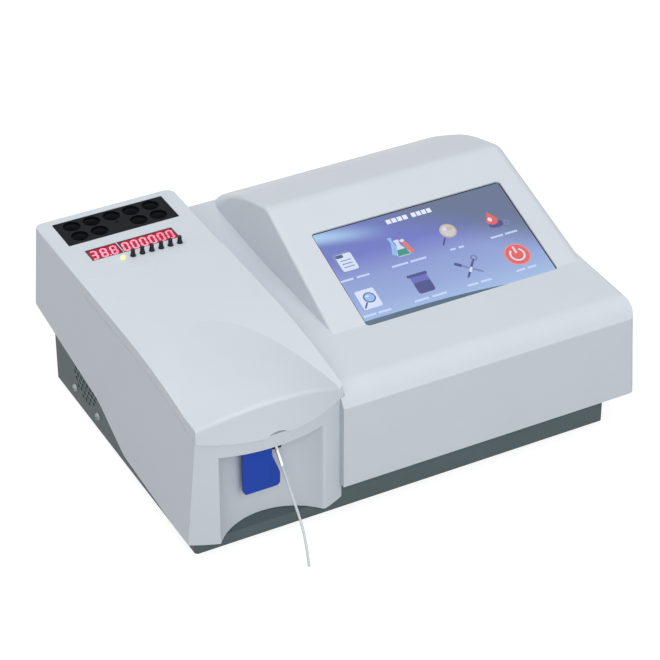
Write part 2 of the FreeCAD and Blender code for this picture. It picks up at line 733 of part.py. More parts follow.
def key_cradle():
    """Two cheeks with feet that carry the key's pin on the pocket's ceiling."""
    y, z = KEY_AXIS
    made = []
    for x0, x1, f0, f1 in ((33.4, 36.6, 29.0, 36.6), (61.4, 64.4, 61.4, 69.0)):
        cheek = side_prism([(y - 5, 83.5), (y - 5, z + 4, 3), (y + 5, z + 4, 3), (y + 5, 83.5)],
                           x0, x1)
        foot = box(f0, f1, y - 5, y + 5, 83.5, 85.0)
        made.append(cheek.fuse(foot).removeSplitter().cut(rod(1.5, (20, y, z), (90, y, z))))
    return Part.makeCompound(made)


def aspirate_switch():
    body = box(42.5, 54.5, 6.0, 18.0, 91.0, 97.5)
    tip = box(47.0, 49.0, 7.6, 9.6, 89.7, 91.0)
    return body.fuse(tip).removeSplitter()


def switch_bracket():
    """Sheet angle that stands on the bay pan and holds the switch on its left side."""
    wall = side_prism([(18.5, 59.5), (24.0, 59.5), (24.0, 97.5), (6.5, 97.5), (6.5, 92.0),
                       (18.5, 92.0)], 54.5, 56.0)
    return wall.fuse(box(46.0, 54.5, 18.5, 24.0, 59.5, 61.0)).removeSplitter()


# Sipper line

NOZZLE_R = 1.3
NOZZLE_TIP = V(63.07, -8.1, 58.3)
NOZZLE_END = V(63.9, 20.0, 86.4)


def sipper_nozzle():
    a = NOZZLE_TIP
    b = NOZZLE_END
    tube = Part.makeCylinder(NOZZLE_R, (b - a).Length, a, b - a)
    return tube.cut(Part.makeCylinder(0.7, (b - a).Length, a, b - a))


def nozzle_holder():
    block = side_prism([(0.5, 66.2, 1.0), (0.5, 80.8), (17.5, 80.8), (17.5, 92.0), (27.0, 92.0),
                        (27.0, 59.5), (18.2, 59.5), (18.2, 66.2)], 60.8, 67.0)
    a = NOZZLE_TIP
    b = NOZZLE_END
    return block.cut(Part.makeCylinder(NOZZLE_R + 0.05, (b - a).Length, a, b - a))


TUBE_D = 1.8
TUBE_ROUTE = [NOZZLE_TIP, V(62.68, -21.4, 45.0), V(61.2, -45.0, 26.0), V(59.8, -52.3, 5.3)]


def sipper_tube():
    """Soft tube that hangs forward from the nozzle to the sample cup's place."""
    runs = [b - a for a, b in zip(TUBE_ROUTE, TUBE_ROUTE[1:])]
    edges = []
    start = TUBE_ROUTE[0]
    for i in range(1, len(TUBE_ROUTE) - 1):
        before = runs[i - 1]
        after = runs[i]
        half = before.getAngle(after) / 2.0
        short = min(before.Length, after.Length)
        radius = 0.45 * short / math.tan(half)
        reach = 0.45 * short
        d0 = V(before).normalize()
        d1 = V(after).normalize()
        corner = TUBE_ROUTE[i]
        p = corner - d0 * reach
        q = corner + d1 * reach
        inward = (d1 - d0).normalize()
        mid = corner + inward * (radius / math.cos(half) - radius)
        edges.append(Part.LineSegment(start, p).toShape())
        edges.append(Part.Arc(p, mid, q).toShape())
        start = q
        print("tube arc radius %.1f" % radius)
    edges.append(Part.LineSegment(start, TUBE_ROUTE[-1]).toShape())
    wire = Part.Wire(edges)
    profile = Part.Wire([Part.makeCircle(TUBE_D / 2.0, TUBE_ROUTE[0], runs[0])])
    tube = wire.makePipeShell([profile], True, False)
    length = wire.Length
    print("tube length %.1f volume ratio %.4f" % (
        length, tube.Volume / (length * math.pi * TUBE_D ** 2 / 4.0)))
    return tube


# Pump bay

def bay_pan():
    x0, x1, y0, y1 = 6.5, 110.0, 16.5, 166.0
    t = 1.5
    pan = box(x0, x1, y0, y1, 58.0, 80.0).cut(box(x0 + t, x1 - t, y0 + t, y1 - t, 58.0 + t, 90.0))
    pan = pan.cut(rod(9.0, (PUMP[0], PUMP[1], 50), (PUMP[0], PUMP[1], 70)))
    pan = pan.cut(rod(4.0, (WHEEL[0], WHEEL[1], 50), (WHEEL[0], WHEEL[1], 70)))
    pan = pan.cut(box(60.5, 67.2, 15.0, 18.5, 66.0, 82.0))
    legs = [rod(3.5, (x, y, SHEET), (x, y, 58.0)) for x, y in POSTS]
    port = box(27.0, 36.4, 100.0, 110.0, 59.5, 74.0)
    return pan.fuse(legs + [port]).removeSplitter()


POSTS = [(12.0, 24.0), (104.0, 24.0), (20.0, 146.0), (104.0, 160.0)]


def pump_motor():
    x, y = PUMP
    can = rod(18.0, (x, y, 20.0), (x, y, 54.0)).fuse(rod(14.0, (x, y, 54.0), (x, y, 58.0)))
    can = can.fuse(rod(6.0, (x, y, 58.0), (x, y, 60.5)))
    can = can.fuse(rod(1.5, (x, y, 60.5), (x, y, 69.5)))
    return can.removeSplitter()


def pump_housing():
    x, y = PUMP
    block = plan_prism([(x - 32, y - 31, 10), (x + 32, y - 31, 10), (x + 32, y + 28, 3), (x - 32, y + 28, 3)],
                       59.5, 79.0)
    block = block.cut(rod(26.0, (x, y, 61.5), (x, y, 90)))
    block = block.cut(box(x - 26.0, x + 26.0, y, y + 40, 61.5, 90))
    block = block.cut(rod(8.0, (x, y, 50), (x, y, 70)))
    return block


def pump_rotor():
    x, y = PUMP
    low = rod(21.0, (x, y, 62.0), (x, y, 64.0))
    high = rod(21.0, (x, y, 76.0), (x, y, 78.0))
    hub = rod(8.0, (x, y, 64.0), (x, y, 79.5))
    rotor = join([low, high, hub])
    for k in range(3):
        a = math.radians(120 * k + 30)
        px = x + 17.0 * math.cos(a)
        py = y + 17.0 * math.sin(a)
        rotor = rotor.fuse(rod(1.5, (px, py, 63.0), (px, py, 77.0)))
    rotor = rotor.cut(box(x - 4, x + 4, y - 0.8, y + 0.8, 78.3, 80))
    rotor = rotor.cut(rod(1.56, (x, y, 60), (x, y, 70)))
    return rotor.removeSplitter()


def pump_roller(k):
    x, y = PUMP
    a = math.radians(120 * k + 30)
    px = x + 17.0 * math.cos(a)
    py = y + 17.0 * math.sin(a)
    return ring(5.0, 1.56, (px, py, 64.3), (px, py, 75.7))


def pump_tube():
    """Soft tube laid round the track: from the waste port on the left to the optics."""
    x, y = PUMP
    r = 24.3
    z = 70.0
    wire = Part.Wire([
        Part.LineSegment(V(x - r, 100.0, z), V(x - r, y, z)).toShape(),
        Part.Arc(V(x - r, y, z), V(x, y - r, z), V(x + r, y, z)).toShape(),
        Part.LineSegment(V(x + r, y, z), V(x + r, 108.0, z)).toShape()])
    profile = Part.Wire([Part.makeCircle(1.7, V(x - r, 100.0, z), V(0, -1, 0))])
    return wire.makePipeShell([profile], True, False)


def optics_block():
    block = box(52.0, 96.0, 108.0, 158.0, 59.5, 90.0)
    block = block.cut(box(OPTIC_X - 6.1, OPTIC_X + 6.1, 118.9, 131.1, 70.0, 95.0))
    block = block.cut(rod(3.0, (40, 125, 78), (OPTIC_X, 125, 78)))
    return block


def flow_cell():
    cell = box(OPTIC_X - 6.0, OPTIC_X + 6.0, 119.0, 131.0, 70.0, 96.0)
    return cell.cut(rod(1.5, (OPTIC_X, 125, 74), (OPTIC_X, 125, 97)))


def lamp_housing():
    base = box(80.0, 94.0, 112.0, 154.0, 90.0, 93.0)
    parts = [base]
    for i in range(7):
        y = 113.0 + 6.4 * i
        parts.append(box(80.0, 94.0, y, y + 1.6, 93.0, 100.0))
    return join(parts)


def filter_wheel():
    x, y = WHEEL
    wheel = rod(15.0, (x, y, 77.0), (x, y, 81.0))
    for k in range(8):
        a = math.radians(45 * k)
        px = x + 10.5 * math.cos(a)
        py = y + 10.5 * math.sin(a)
        wheel = wheel.cut(rod(2.6, (px, py, 70), (px, py, 90)))
    wheel = wheel.fuse(rod(4.0, (x, y, 74.0), (x, y, 84.0)))
    return wheel.cut(rod(1.56, (x, y, 70), (x, y, 82))).removeSplitter()


def filter_motor():
    x, y = WHEEL
    body = rod(10.0, (x, y, 59.5), (x, y, 71.0)).fuse(rod(1.5, (x, y, 71.0), (x, y, 81.5)))
    return body.removeSplitter()


# Screen parts

def touch_panel():
    return screen_box(0.2, SCREEN_W - 0.2, 0.2, SCREEN_H - 0.2, -1.6, 0.0, 2.8)


def lcd_module():
    return screen_box(-5.0, SCREEN_W + 5.0, -1.5, SCREEN_H + 4.5, -7.4, -1.6, 1.0)


def lcd_bracket():
    plate = screen_box(-5.0, SCREEN_W + 5.0, -1.0, SCREEN_H + 4.5, -9.0, -7.4, 2.0)
    plate = plate.cut(screen_box(20, SCREEN_W - 20, 15, SCREEN_H - 15, -12, -5, 4.0))
    parts = [plate]
    for w in (20.0, SCREEN_H - 22.0):
        parts.append(screen_box(-11.0, -5.0, w, w + 12, -9.0, -7.4, 1.0))
        parts.append(screen_box(SCREEN_W + 5.0, SCREEN_W + 11.0, w, w + 12, -9.0, -7.4, 1.0))
    return join(parts)


def screen_posts():
    posts = []
    for w in (26.0, SCREEN_H - 16.0):
        for u in (-8.4, SCREEN_W + 8.4):
            a = slope_point(u, w, -7.4)
            b = slope_point(u, w, -1.0)
            posts.append(Part.makeCylinder(2.4, (b - a).Length, a, b - a))
    return posts


def slope_point(u, w, n):
    c = math.cos(TILT)
    s = math.sin(TILT)
    return V(SCREEN.x + u, SCREEN.y + w * c - n * s, SCREEN.z + w * s + n * c)


# Electronics in the tray

BOARD = (128.0, 314.0, 14.0, 108.0)


def main_board():
    x0, x1, y0, y1 = BOARD
    board = plan_prism([(x0, y0, 2), (x1, y0, 2), (x1, y1, 2), (x0, y1, 2)], 9.2, 10.8)
    chips = [box(160, 178, 40, 58, 10.8, 13.0), box(200, 228, 36, 50, 10.8, 12.6),
             box(250, 262, 60, 80, 10.8, 14.0), box(285, 305, 24, 34, 10.8, 19.0),
             box(140, 146, 70, 98, 10.8, 18.0)]
    caps = [rod(4, (240 + 12 * i, 96, 10.8), (240 + 12 * i, 96, 24)) for i in range(4)]
    return join([board] + chips + caps)


def board_spacers():
    x0, x1, y0, y1 = BOARD
    made = []
    for x in (x0 + 6, x1 - 6):
        for y in (y0 + 6, y1 - 6):
            made.append(rod(2.8, (x, y, SHEET), (x, y, 9.2)))
    return Part.makeCompound(made)


def power_supply():
    x0, x1, y0, y1 = 196.0, 316.0, 118.5, 200.5
    body = box(x0, x1, y0, y1, SHEET, 38.0)
    for i in range(9):
        x = x0 + 14.0 + 11.0 * i
        body = body.cut(box(x, x + 4.0, y0 + 14, y1 - 14, 36.4, 40.0))
    return body


# Fan

def fan_frame():
    y, z = FAN
    x0 = TRAY[0] + SHEET
    corners = []
    for sy, sz in ((-1, -1), (1, -1), (1, 1), (-1, 1)):
        corners.append((y + 25.0 * sy, z + 25.0 * sz, 4.0))
    frame = side_prism(corners, x0, x0 + 10.0)
    frame = frame.cut(rod(23.5, (x0 - 1, y, z), (x0 + 11, y, z)))
    for sy in (-1, 1):
        for sz in (-1, 1):
            frame = frame.cut(rod(2.15, (x0 - 1, y + 20 * sy, z + 20 * sz), (x0 + 11, y + 20 * sy, z + 20 * sz)))
    parts = [frame, rod(9.0, (x0 + 8.2, y, z), (x0 + 10, y, z))]
    for k in range(3):
        a = math.radians(120 * k + 90)
        arm = box(x0 + 8.4, x0 + 10, -1.3, 1.3, 8.0, 24.0)
        arm.rotate(V(0, 0, 0), V(1, 0, 0), math.degrees(a))
        arm.translate(V(0, y, z))
        parts.append(arm)
    parts.append(rod(1.5, (x0 + 3.0, y, z), (x0 + 9, y, z)))
    return join(parts)


def fan_rotor():
    y, z = FAN
    x0 = TRAY[0] + SHEET
    hub = rod(9.5, (x0 + 1.0, y, z), (x0 + 7.8, y, z))
    parts = [hub]
    for k in range(7):
        blade = Part.makeBox(0.9, 5.0, 14.6, V(-0.45, -2.5, 8.2))
        blade.rotate(V(0, 0, 15), V(0, 0, 1), 40)
        blade.rotate(V(0, 0, 0), V(1, 0, 0), 360.0 / 7 * k)
        blade.translate(V(x0 + 4.4, y, z))
        parts.append(blade)
    return join(parts).cut(rod(1.56, (x0 + 2.6, y, z), (x0 + 9, y, z)))


def fan_screws():
    x0 = TRAY[0]
    made = []
    for sy in (-1, 1):
        y = FAN[0] + 20.0 * sy
        z = FAN[1] - 20.0
        head = Part.makeSphere(3.2, V(x0 + 1.0, y, z)).common(box(x0 - 4, x0, y - 5, y + 5, z - 5, z + 5))
        shank = rod(1.9, (x0 - 0.5, y, z), (x0 + 11.0, y, z))
        made.append(head.fuse(shank).cut(box(x0 - 4, x0 - 1.5, y - 2.4, y + 2.4, z - 0.35, z + 0.35)).removeSplitter())
    return Part.makeCompound(made)


# Rear panel

def power_inlet():
    y1 = TRAY[3]
    flange = box(281.0, 313.0, y1, y1 + 2.0, 11.0, 35.0)
    body = box(283.2, 310.8, y1 - 20, y1, 13.2, 32.8)
    body = body.fuse(flange)
    body = body.cut(front_prism([(285.5, 15.5, 1), (308.5, 15.5, 1), (308.5, 26.0, 1), (303.5, 30.5, 1),
                                 (290.5, 30.5, 1), (285.5, 26.0, 1)], y1 - 14, y1 + 5))
    pins = []
    for x, z in ((290.5, 21.0), (303.5, 21.0), (297.0, 25.0)):
        pins.append(box(x - 1.0, x + 1.0, y1 - 16, y1 - 2, z - 2.0, z + 2.0))
    return body.fuse(pins).removeSplitter()


ROCKER_AXIS = (TRAY[3] - 1.5, 22.5)


def switch_body():
    y1 = TRAY[3]
    flange = box(250.0, 272.0, y1, y1 + 1.5, 14.5, 30.5)
    body = box(251.7, 270.3, y1 - 14, y1, 16.2, 28.8)
    body = body.fuse(flange)
    body = body.cut(box(253.5, 268.5, y1 - 11, y1 + 5, 17.2, 27.8))
    y, z = ROCKER_AXIS
    return body.fuse(rod(1.0, (253.0, y, z), (269.0, y, z))).removeSplitter()


def power_rocker():
    y, z = ROCKER_AXIS
    low = math.radians(8.0)
    wedge = side_prism([(y - 5.0, z - 4.2), (y + 2.6, z - 4.9), (y + 3.2, z), (y + 2.6, z + 4.9), (y - 5.0, z + 4.2)],
                       253.9, 268.1)
    wedge.rotate(V(260, y, z), V(1, 0, 0), -math.degrees(low) * 0.5)
    return wedge.cut(rod(1.06, (240, y, z), (280, y, z)))


def data_port():
    y1 = TRAY[3]
    flange = box(176.0, 210.0, y1, y1 + 1.0, 15.5, 28.5)
    shell = front_prism([(183.0, 18.0, 1.5), (203.0, 18.0, 1.5), (204.5, 26.0, 1.5), (181.5, 26.0, 1.5)],
                        y1 - 8, y1 + 6.5)
    body = shell.fuse(flange)
    inner = front_prism([(184.0, 18.8, 1), (202.2, 18.8, 1), (203.4, 25.2, 1), (182.6, 25.2, 1)], y1 + 0.5, y1 + 9)
    body = body.cut(inner)
    pins = [rod(0.5, (185.6 + 3.7 * i, y1, 23.6), (185.6 + 3.7 * i, y1 + 5.5, 23.6)) for i in range(5)]
    pins += [rod(0.5, (187.4 + 3.7 * i, y1, 20.6), (187.4 + 3.7 * i, y1 + 5.5, 20.6)) for i in range(4)]
    nuts = [rod(2.4, (x, y1 + 1.0, 22.0), (x, y1 + 5.0, 22.0)) for x in (179.0, 207.0)]
    return body.fuse(pins + nuts).removeSplitter()


def usb_port():
    y1 = TRAY[3]
    body = box(150.2, 161.8, y1 - 12, y1 + 1.5, 17.2, 27.8)
    body = body.cut(box(151.2, 160.8, y1 - 8, y1 + 3, 18.2, 26.8))
    return body.fuse(box(153.2, 158.8, y1 - 10, y1 + 0.5, 20.9, 24.1)).removeSplitter()


def waste_fitting():
    y1 = TRAY[3]
    x, z = 30.0, 26.0
    parts = [rod(6.5, (x, y1, z), (x, y1 + 3, z)), rod(4.0, (x, y1 - 10, z), (x, y1, z)),
             rod(2.2, (x, y1 + 3, z), (x, y1 + 14, z))]
    for k in range(3):
        parts.append(Part.makeCone(2.9, 2.2, 3.0, V(x, y1 + 4.5 + 3.1 * k, z), V(0, 1, 0)))
    return join(parts).cut(rod(1.2, (x, y1 - 12, z), (x, y1 + 20, z)))


def build():
    put("base_tray", tray())
    put("rubber_feet", rubber_feet())
    put("upper_cover", upper_cover())
    put("front_lid", front_lid())
    put("hinge_brackets", hinge_brackets())
    put("hinge_pins", hinge_pins())
    put("incubator_plate", incubator_plate())
    put("incubator_block", incubator_block())
    put("heater_film", heater_film())
    put("incubator_hanger", incubator_hanger())
    put("counter_windows", counter_windows())
    put("counter_digits", digits())
    put("counter_modules", counter_modules())
    put("key_board", key_board())
    put("deck_screws", deck_screws())
    put("key_switches", key_switches())
    for i, x in enumerate(KEY_X):
        put("timer_key_%d" % (i + 1), timer_key(x))
    put("status_lamp", status_lamp())
    put("aspirate_key", aspirate_key())
    put("key_pin", key_pin())
    put("key_cradle", key_cradle())
    put("aspirate_switch", aspirate_switch())
    put("switch_bracket", switch_bracket())
    put("sipper_nozzle", sipper_nozzle())
    put("nozzle_holder", nozzle_holder())
    put("sipper_tube", sipper_tube())
    put("bay_pan", bay_pan())
    put("pump_motor", pump_motor())
    put("pump_housing", pump_housing())
    put("pump_rotor", pump_rotor())
    for k in range(3):
        put("pump_roller_%d" % (k + 1), pump_roller(k))
    put("pump_tube", pump_tube())
    put("optics_block", optics_block())
    put("flow_cell", flow_cell())
    put("lamp_housing", lamp_housing())
    put("filter_wheel", filter_wheel())
    put("filter_motor", filter_motor())
    put("touch_panel", touch_panel())
    put("lcd_module", lcd_module())
    put("lcd_bracket", lcd_bracket())
    put("main_board", main_board())
    put("board_spacers", board_spacers())
    put("power_supply", power_supply())
    put("fan_frame", fan_frame())
    put("fan_rotor", fan_rotor())
    put("fan_screws", fan_screws())
    put("power_inlet", power_inlet())
    put("switch_body", switch_body())
    put("power_rocker", power_rocker())
    put("data_port", data_port())
    put("usb_port", usb_port())
    put("waste_fitting", waste_fitting())
    print("pieces", len(written))


build()
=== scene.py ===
"""Benchtop chemistry analyzer: its finishes, sipper tube, screen picture, counter figures,
push keys, light and camera. Measures are in millimetres until a mesh takes them in metres."""

import math

import bmesh
import bpy
import numpy as np
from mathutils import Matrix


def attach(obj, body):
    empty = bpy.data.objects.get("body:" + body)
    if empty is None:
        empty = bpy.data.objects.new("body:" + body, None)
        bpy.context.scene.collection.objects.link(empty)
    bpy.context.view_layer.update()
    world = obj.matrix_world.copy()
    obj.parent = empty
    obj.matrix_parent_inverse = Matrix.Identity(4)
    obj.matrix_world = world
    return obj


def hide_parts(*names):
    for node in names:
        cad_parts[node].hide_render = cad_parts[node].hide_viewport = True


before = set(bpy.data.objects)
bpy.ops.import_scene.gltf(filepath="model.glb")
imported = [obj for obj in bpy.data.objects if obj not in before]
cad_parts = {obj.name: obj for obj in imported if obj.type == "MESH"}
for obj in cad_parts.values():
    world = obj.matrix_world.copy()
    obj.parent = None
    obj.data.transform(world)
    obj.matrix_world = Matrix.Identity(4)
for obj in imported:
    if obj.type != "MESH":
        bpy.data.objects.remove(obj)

MM = 0.001
FULL_TURN = 2.0 * math.pi
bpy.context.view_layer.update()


def put_in_scene(name, data):
    """New object for a mesh, curve, lamp or camera, linked to the scene."""
    made = bpy.data.objects.new(name, data)
    bpy.context.scene.collection.objects.link(made)
    return made


# Camera, in metres

CAMERA_PLACE = (-0.732501, -1.371260, 1.119958)
CAMERA_TILT = math.radians(55.59)
CAMERA_TURN = math.radians(-28.083)
CAMERA_LENS = 142.93
CAMERA_SENSOR = 36.0
CAMERA_REACH = 20.0

eye = bpy.data.cameras.new("bench_camera")
eye.lens = CAMERA_LENS
eye.sensor_width = CAMERA_SENSOR
eye.clip_end = CAMERA_REACH
camera = put_in_scene("bench_camera", eye)
camera.location = CAMERA_PLACE
camera.rotation_euler = (CAMERA_TILT, 0.0, CAMERA_TURN)
bpy.context.scene.camera = camera


# Sipper tube: the control points of its route, its outer width and its length

TUBE_POINTS = ((-108.693, -134.7, 62.3), (-109.083, -148.0, 49.0),
               (-110.563, -171.6, 30.0), (-111.963, -178.9, 9.3))
TUBE_BORE = 1.8
TUBE_ROUNDING = 5
TUBE_STEPS = 20


def hang_tube():
    """Round soft tube: a circle swept along a smooth line through the route."""
    line = bpy.data.curves.new("sipper_hose", "CURVE")
    line.dimensions = "3D"
    line.bevel_depth = 1.0
    line.bevel_resolution = TUBE_ROUNDING
    line.use_fill_caps = True
    run = line.splines.new("NURBS")
    run.points.add(len(TUBE_POINTS) - 1)
    for spot, (x, y, z) in zip(run.points, TUBE_POINTS):
        spot.co = (x * MM, y * MM, z * MM, 1.0)
        spot.radius = TUBE_BORE / 2.0 * MM
    run.order_u = 3
    run.use_endpoint_u = True
    run.resolution_u = TUBE_STEPS
    return put_in_scene("sipper_hose", line)


hose = hang_tube()
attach(hose, "housing")
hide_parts("sipper_tube")


# Small steps that the node trees share. Noise mostly lies between these two values

NOISE_LOW = 0.3
NOISE_HIGH = 0.7


def tone(red, green, blue):
    """Linear colour from 0 to 255 screen values."""
    made = []
    for value in (red, green, blue):
        v = value / 255.0
        made.append(v / 12.92 if v <= 0.04045 else ((v + 0.055) / 1.055) ** 2.4)
    return (*made, 1.0)


def shade(colour, factor):
    """The colour made darker or lighter by a factor, at most white."""
    return tuple(min(1.0, v * factor) for v in colour[:3]) + (1.0,)


def feed(links, socket, value):
    """Gives a socket another node's output, or else a plain value."""
    if isinstance(value, bpy.types.NodeSocket):
        links.new(value, socket)
    else:
        socket.default_value = value


def worked(nodes, links, kind, *values, clamp=False):
    """Result of one sum of the given kind; each value is a number or an output."""
    node = nodes.new("ShaderNodeMath")
    node.operation = kind
    node.use_clamp = clamp
    for socket, value in zip(node.inputs, values):
        feed(links, socket, value)
    return node.outputs["Value"]


def carried(nodes, links, value, start, stop, low=0.0, high=1.0, smooth=False):
    """Value carried from the range start to stop into low to high, and kept inside it."""
    node = nodes.new("ShaderNodeMapRange")
    if smooth:
        node.interpolation_type = "SMOOTHSTEP"
    feed(links, node.inputs["Value"], value)
    for label, number in (("From Min", start), ("From Max", stop),
                          ("To Min", low), ("To Max", high)):
        node.inputs[label].default_value = number
    return node.outputs["Result"]


def spread(nodes, links, noise, low, high):
    """Noise carried to the range low to high."""
    return carried(nodes, links, noise, NOISE_LOW, NOISE_HIGH, low, high)


def blend_colour(nodes, links, mask, first, second):
    """Colour that runs from first to second with a mask."""
    mix = nodes.new("ShaderNodeMix")
    mix.data_type = "RGBA"
    links.new(mask, mix.inputs["Factor"])
    feed(links, mix.inputs["A"], first)
    feed(links, mix.inputs["B"], second)
    return mix.outputs["Result"]


def raise_surface(nodes, links, shader, height, strength, distance):
    """Fine relief from a height of 0 to 1, distance metres deep."""
    bump = nodes.new("ShaderNodeBump")
    bump.inputs["Strength"].default_value = strength
    bump.inputs["Distance"].default_value = distance
    links.new(height, bump.inputs["Height"])
    links.new(bump.outputs["Normal"], shader.inputs["Normal"])


def add_noise(nodes, detail, rough=0.5):
    """Noise node with the given number of layers and their strength."""
    noise = nodes.new("ShaderNodeTexNoise")
    noise.inputs["Detail"].default_value = detail
    noise.inputs["Roughness"].default_value = rough
    return noise


# Node groups shared by the finishes, with the values they start from

GRAIN_SCALE = 1600.0
CLOUD_SCALE = 20.0
FINE_LAYERS = 2.0
SLOW_LAYERS = 3.0
SLOW_ROUGH = 0.6
EDGE_WIDTH = 0.0005
EDGE_GAIN = 5.0
EDGE_SAMPLES = 4
DRAWN = (40.0, 900.0, 900.0)


def new_group(name, inputs, outputs):
    """Empty group with named inputs and outputs."""
    group = bpy.data.node_groups.new(name, "ShaderNodeTree")
    for label, kind, value in inputs:
        socket = group.interface.new_socket(label, in_out="INPUT", socket_type=kind)
        socket.default_value = value
    for label, kind in outputs:
        group.interface.new_socket(label, in_out="OUTPUT", socket_type=kind)
    taken = group.nodes.new("NodeGroupInput")
    given = group.nodes.new("NodeGroupOutput")
    return group, group.nodes, group.links, taken.outputs, given.inputs


def make_grain_group():
    """Fine spark-eroded grain as a height, and a slow cloudy mottle from 0 to 1."""
    group, nodes, links, taken, given = new_group(
        "surface_grain",
        [("Grain Scale", "NodeSocketFloat", GRAIN_SCALE),
         ("Mottle Scale", "NodeSocketFloat", CLOUD_SCALE)],
        [("Height", "NodeSocketFloat"), ("Mottle", "NodeSocketFloat")])
    place = nodes.new("ShaderNodeTexCoord")
    fine = add_noise(nodes, FINE_LAYERS)
    slow = add_noise(nodes, SLOW_LAYERS, SLOW_ROUGH)
    for noise, scale, result in ((fine, "Grain Scale", "Height"),
                                 (slow, "Mottle Scale", "Mottle")):
        links.new(place.outputs["Object"], noise.inputs["Vector"])
        links.new(taken[scale], noise.inputs["Scale"])
        links.new(noise.outputs["Fac"], given[result])
    return group


def make_edge_group():
    """Mask of the outer edges: how far a softened normal leaves the true one."""
    group, nodes, links, taken, given = new_group(
        "edge_rub",
        [("Width", "NodeSocketFloat", EDGE_WIDTH), ("Gain", "NodeSocketFloat", EDGE_GAIN)],
        [("Edge", "NodeSocketFloat")])
    soft = nodes.new("ShaderNodeBevel")
    soft.samples = EDGE_SAMPLES
    true = nodes.new("ShaderNodeNewGeometry")
    dot = nodes.new("ShaderNodeVectorMath")
    dot.operation = "DOT_PRODUCT"
    links.new(taken["Width"], soft.inputs["Radius"])
    links.new(soft.outputs["Normal"], dot.inputs[0])
    links.new(true.outputs["Normal"], dot.inputs[1])
    left = worked(nodes, links, "SUBTRACT", 1.0, dot.outputs["Value"])
    links.new(worked(nodes, links, "MULTIPLY", left, taken["Gain"], clamp=True), given["Edge"])
    return group


def make_streak_group():
    """Long fine streaks along one axis, for drawn, brushed and turned metal."""
    group, nodes, links, taken, given = new_group(
        "metal_streaks",
        [("Stretch", "NodeSocketVector", DRAWN)],
        [("Streak", "NodeSocketFloat")])
    place = nodes.new("ShaderNodeTexCoord")
    stretched = nodes.new("ShaderNodeVectorMath")
    stretched.operation = "MULTIPLY"
    noise = add_noise(nodes, SLOW_LAYERS, SLOW_ROUGH)
    noise.inputs["Scale"].default_value = 1.0
    links.new(place.outputs["Object"], stretched.inputs[0])
    links.new(taken["Stretch"], stretched.inputs[1])
    links.new(stretched.outputs["Vector"], noise.inputs["Vector"])
    links.new(noise.outputs["Fac"], given["Streak"])
    return group


GRAIN = make_grain_group()
EDGE = make_edge_group()
STREAKS = make_streak_group()


# Finishes. A cloud is the scale of the slow mottle, a range is how far roughness goes below
# and above its middle with it, and a bump is the strength of the relief. Depths are in metres

EDGE_PALER = 1.5
PLASTIC_CLOUD = 22.0
PLASTIC_RANGE = (-0.04, 0.05)
PLASTIC_BUMP = 0.5
METAL_CLOUD = 45.0
METAL_RANGE = (-0.08, 0.1)
METAL_BUMP = 0.35
METAL_DEPTH = 0.00002
BOARD_CELLS = 190.0
BOARD_RUNS = (0.25, 0.32)
BOARD_PALER = 1.45
BOARD_CLOUD = 60.0
BOARD_ROUGH = (0.25, 0.4)
BOARD_BUMP = 0.4
BOARD_DEPTH = 0.00004
LIT_CLOUD = 300.0
LIT_DIMMER = 0.92
LIT_BASE = 0.3


def place_group(nodes, group, **values):
    """The group in a material, with its own values; an underscore stands for a space."""
    node = nodes.new("ShaderNodeGroup")
    node.node_tree = group
    for label, value in values.items():
        node.inputs[label.replace("_", " ")].default_value = value
    return node.outputs


def blank_finish(name):
    """New material with its nodes, links and shader."""
    material = bpy.data.materials.new(name)
    material.use_nodes = True
    shader = material.node_tree.nodes["Principled BSDF"]
    return material, material.node_tree.nodes, material.node_tree.links, shader


def moulded(name, colour, rough=0.42, grain=1500.0, depth=0.00002, rub=0.12, mottle=0.04,
            shine=0.5):
    """Moulded plastic: spark grain in the surface, a faint cloud in the colour, rubbed edges."""
    material, nodes, links, shader = blank_finish(name)
    surface = place_group(nodes, GRAIN, Grain_Scale=grain, Mottle_Scale=PLASTIC_CLOUD)
    edge = place_group(nodes, EDGE, Width=EDGE_WIDTH, Gain=EDGE_GAIN)
    body = blend_colour(nodes, links, spread(nodes, links, surface["Mottle"], 0.0, 1.0),
                        shade(colour, 1.0 - mottle), shade(colour, 1.0 + mottle))
    rubbed = worked(nodes, links, "MULTIPLY", edge["Edge"], rub)
    worn = blend_colour(nodes, links, rubbed, body, shade(colour, EDGE_PALER))
    links.new(worn, shader.inputs["Base Color"])
    low, high = (rough + change for change in PLASTIC_RANGE)
    links.new(spread(nodes, links, surface["Mottle"], low, high), shader.inputs["Roughness"])
    shader.inputs["Specular IOR Level"].default_value = shine
    raise_surface(nodes, links, shader, surface["Height"], PLASTIC_BUMP, depth)
    return material


def powder_coat(name, colour):
    """Baked powder paint on sheet steel: orange peel, paler where edges are rubbed."""
    return moulded(name, colour, rough=0.5, grain=700.0, depth=0.00006, rub=0.3, mottle=0.07,
                   shine=0.2)


def bare_metal(name, colour, rough=0.3, stretch=DRAWN, contrast=0.12):
    """Bare metal with drawn or brushed streaks and a cloudy gloss."""
    material, nodes, links, shader = blank_finish(name)
    streaks = place_group(nodes, STREAKS, Stretch=stretch)
    surface = place_group(nodes, GRAIN, Mottle_Scale=METAL_CLOUD)
    body = blend_colour(nodes, links, spread(nodes, links, streaks["Streak"], 0.0, 1.0),
                        shade(colour, 1.0 - contrast), shade(colour, 1.0 + contrast))
    links.new(body, shader.inputs["Base Color"])
    shader.inputs["Metallic"].default_value = 1.0
    low, high = (rough + change for change in METAL_RANGE)
    links.new(spread(nodes, links, surface["Mottle"], low, high), shader.inputs["Roughness"])
    raise_surface(nodes, links, shader, streaks["Streak"], METAL_BUMP, METAL_DEPTH)
    return material


